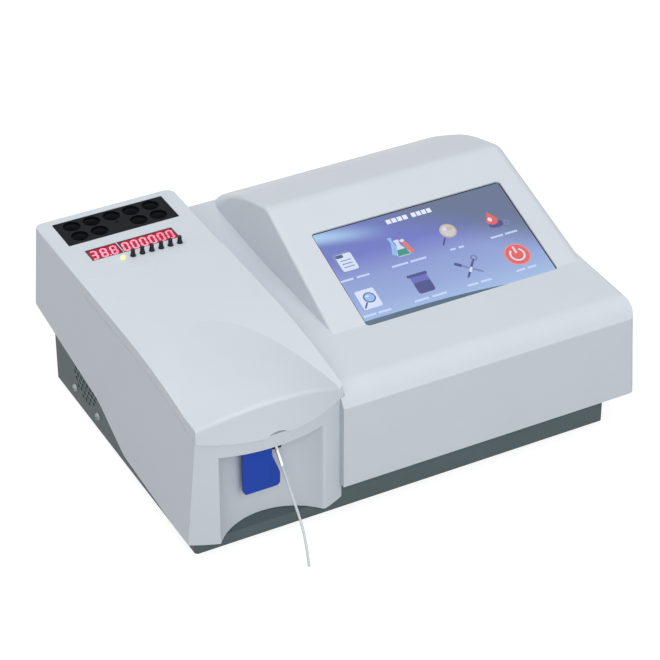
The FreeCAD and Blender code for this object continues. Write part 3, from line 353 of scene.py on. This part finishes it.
def circuit_board(name, colour):
    """Solder mask over copper runs: straight cells of two tints with a soft gloss."""
    material, nodes, links, shader = blank_finish(name)
    place = nodes.new("ShaderNodeTexCoord")
    cells = nodes.new("ShaderNodeTexVoronoi")
    cells.distance = "CHEBYCHEV"
    cells.inputs["Scale"].default_value = BOARD_CELLS
    links.new(place.outputs["Object"], cells.inputs["Vector"])
    step = carried(nodes, links, cells.outputs["Distance"], *BOARD_RUNS)
    links.new(blend_colour(nodes, links, step, shade(colour, BOARD_PALER), colour),
              shader.inputs["Base Color"])
    surface = place_group(nodes, GRAIN, Mottle_Scale=BOARD_CLOUD)
    links.new(spread(nodes, links, surface["Mottle"], *BOARD_ROUGH),
              shader.inputs["Roughness"])
    raise_surface(nodes, links, shader, step, BOARD_BUMP, BOARD_DEPTH)
    return material


def see_through(name, colour, alpha, rough, glow=0.0):
    """Tinted clear plastic: what lies behind shows through its own colour."""
    material = moulded(name, colour, rough=rough, grain=500.0, depth=0.00001, rub=0.05,
                       mottle=0.05)
    shader = material.node_tree.nodes["Principled BSDF"]
    shader.inputs["Alpha"].default_value = alpha
    if glow:
        shader.inputs["Emission Color"].default_value = colour
        shader.inputs["Emission Strength"].default_value = glow
    return material


def lit(name, colour, strength, rough=0.2):
    """Lit plastic: it gives off its colour, a little unevenly."""
    material, nodes, links, shader = blank_finish(name)
    surface = place_group(nodes, GRAIN, Mottle_Scale=LIT_CLOUD)
    body = blend_colour(nodes, links, spread(nodes, links, surface["Mottle"], 0.0, 1.0),
                        shade(colour, LIT_DIMMER), colour)
    links.new(body, shader.inputs["Emission Color"])
    shader.inputs["Base Color"].default_value = shade(colour, LIT_BASE)
    shader.inputs["Emission Strength"].default_value = strength
    shader.inputs["Roughness"].default_value = rough
    return material


PALE = dict(grain=1400.0, depth=0.000022, rub=0.10, mottle=0.012, shine=0.2)
SHELL = moulded("pale_shell", tone(202, 209, 216), **PALE)
LID_SHELL = moulded("pale_lid", tone(203, 210, 217), **PALE)
TRAY_PAINT = powder_coat("slate_powder_coat", tone(82, 95, 98))
RUBBER = moulded("foot_rubber", tone(38, 38, 40), rough=0.75, grain=500.0, depth=0.00008,
                 rub=0.2, mottle=0.1)
PANEL = moulded("charcoal_panel", tone(9, 14, 20), rough=0.45, grain=1200.0, mottle=0.05,
                shine=0.07)
BLACK_PLASTIC = moulded("black_plastic", tone(24, 25, 29), grain=1200.0, rub=0.2,
                        mottle=0.06, shine=0.3)
KEY_CAP = moulded("dark_key_cap", tone(20, 24, 36), rough=0.34, depth=0.00001, rub=0.2,
                  mottle=0.05, shine=0.3)
GREY_PLASTIC = moulded("grey_plastic", tone(150, 154, 158), rough=0.45, grain=1200.0)
WHITE_PLASTIC = moulded("white_plastic", tone(214, 215, 212), rough=0.4, grain=1200.0,
                        rub=0.08, mottle=0.03)
BLUE_PLASTIC = moulded("blue_key_plastic", tone(14, 63, 166), grain=1400.0, shine=0.25)
BLACK_ALLOY = moulded("black_anodised", tone(36, 38, 42), rough=0.48, grain=1600.0,
                      depth=0.00001, rub=0.3, mottle=0.05, shine=0.2)
SCREEN_GLASS = moulded("screen_glass", tone(14, 16, 20), rough=0.06, grain=300.0,
                       depth=0.000002, rub=0.05, mottle=0.05)
STEEL = bare_metal("bright_steel", tone(190, 192, 196), rough=0.28)
# Steel lightened well past the other steel so the thin nozzle reads bright: a painted highlight,
# not polish
NOZZLE_STEEL_PAINTED_BRIGHT = bare_metal("nozzle_steel_painted_bright", tone(232, 235, 237), rough=0.36,
                          stretch=(900.0, 900.0, 60.0), contrast=0.05)
SCREW_ZINC = bare_metal("dull_screw_zinc", tone(138, 142, 144), rough=0.4,
                        stretch=(300.0, 300.0, 300.0), contrast=0.1)
ZINC = bare_metal("zinc_sheet", tone(168, 170, 172), rough=0.42,
                  stretch=(120.0, 160.0, 160.0), contrast=0.08)
ALLOY = bare_metal("milled_alloy", tone(176, 178, 180), rough=0.35,
                   stretch=(900.0, 30.0, 900.0))
BRASS = bare_metal("brass_fitting", tone(196, 160, 92))
BOARD_GREEN = circuit_board("green_board", tone(28, 92, 58))
HEATER_AMBER = circuit_board("amber_heater_film", tone(168, 96, 32))
RED_WINDOW = see_through("red_window", tone(158, 10, 44), alpha=0.3, rough=0.14, glow=0.9)
CLEAR_TUBING = see_through("clear_tubing", tone(206, 216, 219), alpha=0.84, rough=0.26)
QUARTZ = see_through("quartz_cell", tone(206, 220, 226), alpha=0.4, rough=0.08)
FIGURE_LIGHT = lit("figure_light", tone(255, 134, 158), 2.6)
LAMP_LIGHT = lit("lamp_light", tone(240, 252, 160), 1.0)

FINISHES = (
    (SHELL, "upper_cover"),
    (LID_SHELL, "front_lid"),
    (TRAY_PAINT, "base_tray"),
    (RUBBER, "rubber_feet"),
    (PANEL, "incubator_plate"),
    (BLACK_ALLOY, "incubator_block deck_screws optics_block filter_wheel"),
    (BLACK_PLASTIC, "counter_modules key_switches aspirate_switch nozzle_holder lcd_module"),
    (BLACK_PLASTIC, "fan_frame fan_rotor power_inlet switch_body power_rocker"),
    (WHITE_PLASTIC, "key_cradle bay_pan pump_housing waste_fitting"),
    (WHITE_PLASTIC, "pump_roller_1 pump_roller_2 pump_roller_3"),
    (GREY_PLASTIC, "pump_rotor"),
    (BLUE_PLASTIC, "aspirate_key"),
    (KEY_CAP, "timer_key_1 timer_key_2 timer_key_3 timer_key_4 timer_key_5 timer_key_6"),
    (ZINC, "hinge_brackets incubator_hanger switch_bracket pump_motor filter_motor"),
    (ZINC, "lcd_bracket power_supply data_port usb_port"),
    (STEEL, "hinge_pins key_pin"),
    (NOZZLE_STEEL_PAINTED_BRIGHT, "sipper_nozzle"),
    (SCREW_ZINC, "fan_screws"),
    (ALLOY, "lamp_housing"),
    (BRASS, "board_spacers"),
    (BOARD_GREEN, "key_board main_board"),
    (HEATER_AMBER, "heater_film"),
    (RED_WINDOW, "counter_windows"),
    (FIGURE_LIGHT, "counter_digits"),
    (LAMP_LIGHT, "status_lamp"),
    (CLEAR_TUBING, "pump_tube"),
    (QUARTZ, "flow_cell"),
    (SCREEN_GLASS, "touch_panel"),
)

for finish, names in FINISHES:
    for node in names.split():
        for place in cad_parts[node].material_slots:
            place.material = finish
hose.data.materials.append(CLEAR_TUBING)


# Surfaces from grids of points

def grid_faces(rows, cols, first=0):
    """Four corners of each cell of a rows by cols grid of points."""
    index = np.arange(rows * cols).reshape(rows, cols) + first
    return np.stack([index[:-1, :-1], index[:-1, 1:], index[1:, 1:], index[1:, :-1]],
                    axis=-1).reshape(-1, 4)


def build_surface(name, grids, finishes, body):
    """One mesh from grids of points; each grid is (points, finish number, u v or None)."""
    points = []
    faces = []
    numbers = []
    spots = []
    first = 0
    for pts, number, uv in grids:
        rows, cols = pts.shape[:2]
        cells = grid_faces(rows, cols, first)
        points.append(pts.reshape(-1, 3))
        faces.append(cells)
        numbers.append(np.full(len(cells), number))
        spots.append(np.zeros((rows * cols, 2)) if uv is None else uv.reshape(-1, 2))
        first += rows * cols
    mesh = bpy.data.meshes.new(name)
    mesh.from_pydata(np.concatenate(points).tolist(), [], np.concatenate(faces).tolist())
    mesh.polygons.foreach_set("material_index", np.concatenate(numbers).astype(np.int32))
    layer = mesh.uv_layers.new(name="face_map")
    corner = np.zeros(len(mesh.loops), dtype=np.int32)
    mesh.loops.foreach_get("vertex_index", corner)
    layer.data.foreach_set("uv", np.concatenate(spots)[corner].ravel())
    for finish in finishes:
        mesh.materials.append(finish)
    mesh.update()
    piece = put_in_scene(name, mesh)
    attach(piece, body)
    return piece


def close_seams(piece):
    """Joins the points that meet at seams, ends and poles."""
    shape = bmesh.new()
    shape.from_mesh(piece.data)
    bmesh.ops.remove_doubles(shape, verts=shape.verts, dist=0.0001 * MM)
    shape.to_mesh(piece.data)
    shape.free()


# Menu picture on the sloping screen

SLOPE_TILT = math.radians(18.75)
SCREEN_CORNER = (-8.463, -68.8, 101.0)
PICTURE_WIDE = 155.0
PICTURE_TALL = 89.0
PICTURE_EDGE = 1.0
PICTURE_RISE = 0.04
MARK_RISE = 0.03
WASH_STOPS = ((0.0, (166, 192, 230)), (0.22, (152, 172, 221)), (0.45, (144, 160, 213)),
              (0.7, (116, 124, 200)), (1.0, (112, 124, 190)))
SLATE = (105, 119, 143)
SLATE_RANGE = (1.15, 1.62)
SLATE_MOST = 0.9
STREAK = (172, 206, 242)
STREAK_LEAN = 0.33
STREAK_PLACE = 0.97
STREAK_REACH = 0.12
STREAK_END = 0.4
PICTURE_BASE = (12, 14, 22)
PICTURE_GLOW = 0.95
PICTURE_ROUGH = 0.14
PICTURE_SHINE = 0.2
PICTURE_ROWS = 24
PICTURE_COLUMNS = 40
INK_GLOW = 0.92
INK_ROUGH = 0.12
STRIP_TALL = 4.6
STRIP_LONG = 114.0


def slope(u, w, n):
    """Points of the slope in metres: u along it, w up it and n out of it, in millimetres."""
    u, w, n = np.broadcast_arrays(u, w, n)
    c = math.cos(SLOPE_TILT)
    s = math.sin(SLOPE_TILT)
    x, y, z = SCREEN_CORNER
    return np.stack([x + u, y + w * c - n * s, z + w * s + n * c], axis=-1) * MM


def picture_finish():
    """Blue to violet wash up the picture. Slate comes in as u + v goes through its range, and
    a pale streak lies where v plus about a third of u is near its place, on the left."""
    material, nodes, links, shader = blank_finish("menu_wash")
    spot = nodes.new("ShaderNodeUVMap")
    spot.uv_map = "face_map"
    parts = nodes.new("ShaderNodeSeparateXYZ")
    links.new(spot.outputs["UV"], parts.inputs["Vector"])
    u = parts.outputs["X"]
    v = parts.outputs["Y"]
    wash = nodes.new("ShaderNodeValToRGB")
    ramp = wash.color_ramp
    ends = (WASH_STOPS[0], WASH_STOPS[-1])
    for element, (where, colour) in zip(ramp.elements, ends):
        element.position = where
        element.color = tone(*colour)
    for where, colour in WASH_STOPS[1:-1]:
        ramp.elements.new(where).color = tone(*colour)
    links.new(v, wash.inputs["Fac"])
    total = worked(nodes, links, "ADD", u, v)
    corner = carried(nodes, links, total, *SLATE_RANGE, 0.0, SLATE_MOST, smooth=True)
    slate = blend_colour(nodes, links, corner, wash.outputs["Color"], tone(*SLATE))
    across = worked(nodes, links, "MULTIPLY_ADD", u, STREAK_LEAN, v)
    away = worked(nodes, links, "SUBTRACT", across, STREAK_PLACE)
    size = worked(nodes, links, "ABSOLUTE", away)
    hill = carried(nodes, links, size, STREAK_REACH, 0.0, smooth=True)
    fade = carried(nodes, links, u, STREAK_END, 0.0, smooth=True)
    mask = worked(nodes, links, "MULTIPLY", hill, fade)
    links.new(blend_colour(nodes, links, mask, slate, tone(*STREAK)),
              shader.inputs["Emission Color"])
    shader.inputs["Emission Strength"].default_value = PICTURE_GLOW
    shader.inputs["Base Color"].default_value = tone(*PICTURE_BASE)
    shader.inputs["Roughness"].default_value = PICTURE_ROUGH
    shader.inputs["Specular IOR Level"].default_value = PICTURE_SHINE
    return material


def ink(name, red, green, blue):
    """Lit flat colour of the picture."""
    return lit("ink_" + name, tone(red, green, blue), INK_GLOW, INK_ROUGH)


INKS = [picture_finish(), ink("white", 190, 201, 222), ink("green", 44, 132, 112),
        ink("orange", 206, 104, 92), ink("gold", 176, 164, 150), ink("red", 206, 84, 80),
        ink("navy", 60, 68, 122), ink("sky", 132, 166, 214), ink("steel", 104, 116, 162),
        ink("strip", 70, 92, 114), ink("caption", 186, 200, 236), ink("violet", 88, 96, 166),
        ink("pale_red", 208, 128, 134), ink("pale_gold", 186, 182, 186),
        ink("title", 208, 214, 230)]
(WASH, WHITE, GREEN, ORANGE, GOLD, RED, NAVY, SKY, GREY_BLUE, STRIP, CAPTION, VIOLET,
 PALE_RED, PALE_GOLD, TITLE) = range(len(INKS))


# Outlines of marks: two rows of numbers, along the picture and up it

ROUND_POINTS = 48
BAR_POINTS = 40
LONG_POINTS = 60
MARK_CENTRE = 0.001
BLOCK_SHARE = 0.4


def round_outline(rx, rw, power=2.0, count=ROUND_POINTS, start=0.0, stop=FULL_TURN):
    """Superellipse: cosine and sine raised to 2 / power keep their signs."""
    t = np.linspace(start, stop, count)
    return (rx * np.sign(np.cos(t)) * np.abs(np.cos(t)) ** (2.0 / power),
            rw * np.sign(np.sin(t)) * np.abs(np.sin(t)) ** (2.0 / power))


def drop_outline(r, tall):
    """Water drop: a circle whose upper half is drawn out to a point."""
    t = np.linspace(0.0, FULL_TURN, LONG_POINTS)
    lift = np.clip(np.sin(t), 0.0, 1.0)
    return r * np.cos(t) * (1.0 - 0.55 * lift), r * np.sin(t) + (tall - r) * lift ** 3


def flask_outline(wide, tall, neck):
    """Conical flask: half its points, mirrored; a lip, a straight neck, then a cone."""
    x = np.array([0.0, neck * 1.5, neck * 1.5, neck, neck, wide, wide * 0.8, 0.0])
    w = np.array([0.5, 0.5, 0.43, 0.43, 0.16, -0.4, -0.5, -0.5]) * tall
    return np.concatenate([x, -x[::-1]]), np.concatenate([w, w[::-1]])


def cone_outline(top, base, low, high):
    """Four-sided mark with a straight level top and base."""
    return np.array([top, base, -base, -top, top]), np.array([high, low, low, high, high])


def turned(outline, degrees):
    """The outline turned about its centre."""
    c = math.cos(math.radians(degrees))
    s = math.sin(math.radians(degrees))
    x, w = outline
    return x * c - w * s, x * s + w * c


# Marks: each is a grid of points, its ink and no u v; a higher layer lies on a lower one

def mark(cx, cw, outline, colour, inner=0.0, layer=1):
    """Flat mark: the outline scaled from inner to 1 about its centre, on a layer."""
    size = np.array([max(inner, MARK_CENTRE), 1.0])[:, None]
    return (slope(cx + size * outline[0], cw + size * outline[1],
                  PICTURE_RISE + MARK_RISE * layer), colour, None)


def bar(cx, cw, w, h, colour, layer=1, power=8.0, lean=0.0):
    """Bar with rounded corners, turned by lean degrees."""
    outline = round_outline(w / 2.0, h / 2.0, power, BAR_POINTS)
    return mark(cx, cw, turned(outline, lean), colour, 0.0, layer)


def lens(cx, cw, r, rim, glass, layer=1):
    """Reading lens: a handle toward the lower left, the rim, the glass and a gleam."""
    return [bar(cx - r * 1.15, cw - r * 1.25, r * 1.3, 1.3, NAVY, layer, 4.0, 52.0),
            mark(cx, cw, round_outline(r, r), rim, 0.0, layer + 1),
            mark(cx, cw, round_outline(r * 0.8, r * 0.8), glass, 0.0, layer + 2),
            mark(cx - r * 0.25, cw + r * 0.3, round_outline(r * 0.3, r * 0.2), WHITE, 0.0,
                 layer + 3)]


def word(start, cw, count, pitch, tall, colour):
    """A row of short upright blocks, the look of a word too small to read."""
    half = pitch * BLOCK_SHARE
    block = cone_outline(half, half, -tall / 2.0, tall / 2.0)
    return [mark(start + pitch * (i + 0.5), cw, block, colour) for i in range(count)]


def clipboard(cx, cw):
    """Board, sheet, clip and three lines."""
    return [bar(cx, cw, 15.0, 18.0, GREY_BLUE, 1, 10.0),
            bar(cx + 0.6, cw - 0.6, 12.6, 15.6, WHITE, 2, 10.0),
            bar(cx - 2.6, cw + 5.4, 6.0, 3.0, NAVY, 3, 4.0)
            ] + [bar(cx + 0.6, cw + 1.2 - 3.0 * i, 8.6, 0.8, GREY_BLUE, 3) for i in range(3)]


def flasks(cx, cw):
    """Conical flask with green in it, a pale one behind and an orange tube leaning on it."""
    return [mark(cx - 3.8, cw + 1.2, flask_outline(4.4, 16.0, 1.1), SKY),
            mark(cx, cw - 1.6, flask_outline(5.6, 15.0, 1.4), WHITE, 0.0, 2),
            mark(cx, cw - 5.8, cone_outline(3.4, 5.1, -2.8, 2.8), GREEN, 0.0, 3),
            bar(cx + 5.6, cw - 2.0, 3.2, 13.0, ORANGE, 2, 4.0, 14.0),
            bar(cx + 4.2, cw + 4.0, 3.4, 2.4, WHITE, 3, 4.0, 14.0)]


def globe(cx, cw):
    """Lens over a pale globe."""
    return lens(cx + 1.0, cw + 1.0, 6.4, GOLD, PALE_GOLD) + [
        mark(cx + 2.8, cw + 2.6, round_outline(2.6, 1.8), GOLD, 0.0, 4)]


def drop_and_dish(cx, cw):
    """Drop over a dish, and a small wheel."""
    return [mark(cx - 0.6, cw - 5.0, round_outline(6.0, 3.2), NAVY),
            mark(cx - 2.0, cw - 0.4, drop_outline(4.6, 7.4), RED, 0.0, 2),
            mark(cx - 3.2, cw + 0.2, round_outline(1.6, 2.0), WHITE, 0.0, 3),
            mark(cx + 7.2, cw - 6.0, round_outline(2.6, 2.6), GREY_BLUE, 0.45, 2)]


def card(cx, cw):
    """Card with a lens on it."""
    return [bar(cx, cw, 15.0, 17.0, WHITE, 1, 12.0)] + lens(cx + 1.0, cw + 0.8, 4.6, NAVY,
                                                            SKY, 2)


def jar(cx, cw):
    """Jar with a broad rim, darker toward its foot."""
    return [bar(cx, cw, 13.4, 17.6, VIOLET), bar(cx, cw - 3.6, 13.4, 10.0, NAVY, 2, 6.0),
            bar(cx - 0.4, cw + 7.8, 16.0, 2.6, NAVY, 2)]


def tools(cx, cw):
    """Driver and spanner, crossed."""
    jaw = round_outline(2.8, 2.8, start=-1.9, stop=3.4)
    return [bar(cx, cw, 19.0, 1.7, GREY_BLUE, 1, 4.0, -38.0),
            bar(cx, cw, 19.0, 1.7, NAVY, 2, 4.0, 50.0),
            mark(cx + 6.6, cw + 7.8, jaw, GREY_BLUE, 0.5, 3),
            bar(cx - 7.4, cw + 5.8, 5.6, 2.6, NAVY, 3, 5.0, -38.0),
            bar(cx - 0.6, cw - 1.0, 5.0, 1.9, WHITE, 3, 4.0, 50.0)]


def switch_disc(cx, cw):
    """Switch-off disc: pale rim, red face, a ring open at the top and an upright bar."""
    ring = round_outline(6.0, 6.0, count=LONG_POINTS, start=math.radians(125.0),
                         stop=math.radians(415.0))
    return [mark(cx, cw, round_outline(9.8, 9.8), PALE_RED),
            mark(cx, cw, round_outline(8.8, 8.8), RED, 0.0, 2),
            mark(cx, cw, ring, WHITE, 0.76, 3),
            bar(cx, cw + 4.4, 1.6, 6.4, WHITE, 3)]


TITLE_ROW = 81.4
TITLE_TALL = 4.0
TITLE_LETTERS = 4
TITLE_WORDS = ((57.0, 4.5), (77.6, 4.2))
MENU_COLUMNS = (13.0, 56.0, 95.5, 134.0)
CAPTION_ROWS = ((42.9, (24.0, 28.0, 12.0, 22.0)), (9.4, (22.0, 27.0, 20.0, 17.0)))
SYMBOL_ROWS = ((58.5, (clipboard, flasks, globe, drop_and_dish)),
               (23.0, (card, jar, tools, switch_disc)))
LETTER_ROOM = 3.1
LETTER_PITCH = 1.45
LETTER_TALL = 1.7
WORD_GAP = 0.8


def menu_marks():
    """Title, then the captions, of two words each, then two rows of four symbols."""
    marks = []
    for start, pitch in TITLE_WORDS:
        marks += word(start, TITLE_ROW, TITLE_LETTERS, pitch, TITLE_TALL, TITLE)
    for row, widths in CAPTION_ROWS:
        for cx, wide in zip(MENU_COLUMNS, widths):
            count = int(wide / LETTER_ROOM)
            for start in (cx - wide / 2.0, cx + WORD_GAP):
                marks += word(start, row, count, LETTER_PITCH, LETTER_TALL, CAPTION)
    for row, symbols in SYMBOL_ROWS:
        for cx, symbol in zip(MENU_COLUMNS, symbols):
            marks += symbol(cx, row)
    return marks


def menu_picture():
    """Picture sheet over the glass, its marks, and a lower strip that thins as 1 - u cubed."""
    v = np.linspace(0.0, 1.0, PICTURE_ROWS)[:, None]
    u = np.linspace(0.0, 1.0, PICTURE_COLUMNS)[None, :]
    wide = PICTURE_WIDE - 2.0 * PICTURE_EDGE
    tall = PICTURE_TALL - 2.0 * PICTURE_EDGE
    sheet = slope(PICTURE_EDGE + wide * u, PICTURE_EDGE + tall * v, PICTURE_RISE)
    uv = np.stack(np.broadcast_arrays(u, v), axis=-1)
    ends = np.array([0.0, 1.0])[:, None]
    strip = slope(PICTURE_EDGE + STRIP_LONG * u,
                  PICTURE_EDGE + STRIP_TALL * ends * (1.0 - u ** 3), PICTURE_RISE + MARK_RISE)
    grids = [(sheet, WASH, uv), (strip, STRIP, None)] + menu_marks()
    build_surface("menu_picture", grids, INKS, "housing")


menu_picture()


# Counter figures, push keys and status lamp

FIGURE_WIDE = 5.3
FIGURE_TALL = 11.4
FIGURE_LEAN = 0.12
FIGURE_ROW = 84.15
FIGURE_FLOOR = 115.0
BAR_WIDE = 1.45
BAR_RISE = 0.15
BAR_GAP = 0.15
LIT_BARS = {"3": "abcdg", "8": "abcdefg", "0": "abcdef"}
LEFT_FIGURES = ((-145.113, "3"), (-137.513, "8"), (-129.913, "8"))
ZERO_PLACES = np.linspace(-120.513, -85.913, 6)
POINT_BAR = (-133.75, 79.2, 1.5, 1.3, 0.0)

KEY_PLACES = np.linspace(-121.363, -84.863, 6)
KEY_ROW = 70.0
LAMP_PLACE = (-129.263, 69.6)
ROUND_STEPS = 41
SHARP_ANGLE = math.radians(40.0)

# radius and height, from the foot to the top
KEY_PROFILE = ((0.0, 110.7), (1.2, 110.7), (1.2, 111.6), (2.82, 111.6), (2.9, 111.68),
               (2.9, 112.92), (2.82, 113.0), (1.95, 113.0), (1.95, 116.0), (1.88, 116.6),
               (1.64, 117.7), (1.53, 119.2), (1.46, 121.0), (1.38, 121.3), (1.15, 121.46),
               (0.85, 121.5), (0.0, 121.5))
LAMP_PROFILE = ((0.0, 105.6), (1.9, 105.6), (1.9, 107.4), (1.4, 107.4), (1.4, 115.85),
                (1.74, 115.9), (1.8, 116.0), (1.78, 116.9), (1.6, 117.7), (1.15, 118.2),
                (0.6, 118.4), (0.0, 118.45))


def figure_bars(cx, text):
    """Bars of one figure: centre, length, width, and 1 where the bar stands upright."""
    side = (FIGURE_WIDE - BAR_WIDE) / 2.0
    rise = (FIGURE_TALL - BAR_WIDE) / 2.0
    flat = (2.0 * side - BAR_GAP, BAR_WIDE, 0.0)
    tall = (rise - BAR_GAP, BAR_WIDE, 1.0)
    bars = {"a": (0.0, rise, *flat), "g": (0.0, 0.0, *flat), "d": (0.0, -rise, *flat),
            "f": (-side, rise / 2.0, *tall), "b": (side, rise / 2.0, *tall),
            "e": (-side, -rise / 2.0, *tall), "c": (side, -rise / 2.0, *tall)}
    return [(cx + bars[name][0], FIGURE_ROW + bars[name][1], *bars[name][2:])
            for name in LIT_BARS[text]]


def lit_figures():
    """Figures of flat bars with pointed ends: a bar's half width is half its width, or the
    distance to its nearer end where that is less, and every point leans with its height."""
    bars = [POINT_BAR]
    for cx, text in LEFT_FIGURES:
        bars += figure_bars(cx, text)
    for cx in ZERO_PLACES:
        bars += figure_bars(cx, "0")
    cx, cy, length, width, upright = (row[:, None, None] for row in np.array(bars).T)
    half = np.array([0.0, 1.0, 1.0, 0.0])[None, :, None] * width / 2.0
    ends = np.array([-1.0, -1.0, 1.0, 1.0])[None, :, None]
    along = ends * (length / 2.0 - half)
    across = half * np.array([1.0, 1.0, -1.0, -1.0, 1.0])
    along, across = np.broadcast_arrays(along, across)
    y = cy + np.where(upright > 0.5, along, across)
    x = cx + np.where(upright > 0.5, -across, along) + FIGURE_LEAN * (y - FIGURE_ROW)
    z = FIGURE_FLOOR + BAR_RISE * np.array([0.0, 1.0, 1.0, 0.0, 0.0])
    points = np.stack(np.broadcast_arrays(x, y, z), axis=-1) * MM
    piece = build_surface("lit_figures", [(bar_points, 0, None) for bar_points in points],
                          [FIGURE_LIGHT], "housing")
    close_seams(piece)
    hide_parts("counter_digits")


def turned_piece(name, profile, place, finish, body, node):
    """Turned part: a profile of radius and height carried round an upright axis."""
    radius, height = np.array(profile).T[:, :, None]
    turn = np.linspace(0.0, FULL_TURN, ROUND_STEPS)[None, :]
    points = np.stack(np.broadcast_arrays(place[0] + radius * np.cos(turn),
                                          place[1] + radius * np.sin(turn), height), axis=-1)
    piece = build_surface(name, [(points * MM, 0, None)], [finish], body)
    close_seams(piece)
    mesh = piece.data
    mesh.polygons.foreach_set("use_smooth", np.ones(len(mesh.polygons), dtype=bool))
    mesh.set_sharp_from_angle(angle=SHARP_ANGLE)
    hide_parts(node)


lit_figures()
for number, x in enumerate(KEY_PLACES, 1):
    turned_piece("push_key_%d" % number, KEY_PROFILE, (x, KEY_ROW), KEY_CAP,
                 "timer_key_%d" % number, "timer_key_%d" % number)
turned_piece("lamp_lens", LAMP_PROFILE, LAMP_PLACE, LAMP_LIGHT, "housing",
             "status_lamp")


# Floor, backdrop and light, in metres

FLOOR_RINGS = (0.001, 0.5, 1.0, 2.5, 6.0)
FLOOR_STEPS = 65
FLOOR_GREY = (0.25, 0.25, 0.26, 1.0)
FLOOR_CLOUD = 3.0
FLOOR_ROUGH = (0.85, 0.95)
FLOOR_LIFT = 0.85
WORLD_LIGHT = 0.43
WHITE_TO = ("Is Camera Ray", "Is Glossy Ray", "Is Transmission Ray")
# name, place, what it faces, side of its square and power in watts
LAMPS = (("overhead_softbox", (-0.20, 0.45, 1.75), (0.0, 0.0, 0.0), 1.8, 12.4),
         ("left_softbox", (-1.70, 0.20, 1.30), (0.0, 0.0, 0.05), 1.2, 6.2),
         ("front_softbox", (-0.30, -2.10, 1.15), (0.0, 0.0, 0.05), 2.2, 37.0))


def white_mask(nodes, links):
    """1 for what the lens, a reflection or clear plastic sees, and 0 for plain light."""
    path = nodes.new("ShaderNodeLightPath")
    mask = path.outputs[WHITE_TO[0]]
    for ray in WHITE_TO[1:]:
        mask = worked(nodes, links, "MAXIMUM", mask, path.outputs[ray])
    return mask


def make_floor():
    """Pale round floor: rings of points whose radius grows, with a white look to the lens."""
    turn = np.linspace(0.0, FULL_TURN, FLOOR_STEPS)
    reach = np.array(FLOOR_RINGS)[:, None]
    flat = np.zeros((len(FLOOR_RINGS), FLOOR_STEPS))
    pts = np.stack([reach * np.cos(turn), reach * np.sin(turn), flat], axis=-1)
    cells = grid_faces(len(FLOOR_RINGS), FLOOR_STEPS)[:, ::-1]
    mesh = bpy.data.meshes.new("bench_top")
    mesh.from_pydata(pts.reshape(-1, 3).tolist(), [], cells.tolist())
    material, nodes, links, shader = blank_finish("bench_white")
    surface = place_group(nodes, GRAIN, Mottle_Scale=FLOOR_CLOUD)
    links.new(spread(nodes, links, surface["Mottle"], *FLOOR_ROUGH),
              shader.inputs["Roughness"])
    shader.inputs["Base Color"].default_value = FLOOR_GREY
    lift = nodes.new("ShaderNodeEmission")
    links.new(worked(nodes, links, "MULTIPLY", white_mask(nodes, links), FLOOR_LIFT),
              lift.inputs["Strength"])
    both = nodes.new("ShaderNodeAddShader")
    links.new(shader.outputs["BSDF"], both.inputs[0])
    links.new(lift.outputs["Emission"], both.inputs[1])
    links.new(both.outputs["Shader"], nodes["Material Output"].inputs["Surface"])
    mesh.materials.append(material)
    floor = put_in_scene("bench_top", mesh)


def make_world():
    """White to the lens and in reflections, a softer even light on surfaces."""
    world = bpy.data.worlds.new("studio_white")
    world.use_nodes = True
    nodes = world.node_tree.nodes
    links = world.node_tree.links
    back = nodes["Background"]
    back.inputs["Color"].default_value = (1.0, 1.0, 1.0, 1.0)
    level = carried(nodes, links, white_mask(nodes, links), 0.0, 1.0, WORLD_LIGHT, 1.0)
    links.new(level, back.inputs["Strength"])
    bpy.context.scene.world = world


def soft_box(name, place, aim, size, power):
    """Square studio lamp at place, turned to aim."""
    lamp = bpy.data.lights.new(name, "AREA")
    lamp.shape = "SQUARE"
    lamp.size = size
    lamp.energy = power
    body = put_in_scene(name, lamp)
    body.location = place
    away = np.array(place) - np.array(aim)
    flat = math.hypot(away[0], away[1])
    body.rotation_euler = (math.atan2(flat, away[2]), 0.0, math.atan2(away[0], -away[1]))


make_floor()
make_world()
for lamp_facts in LAMPS:
    soft_box(*lamp_facts)

bpy.context.scene.view_settings.view_transform = "Standard"
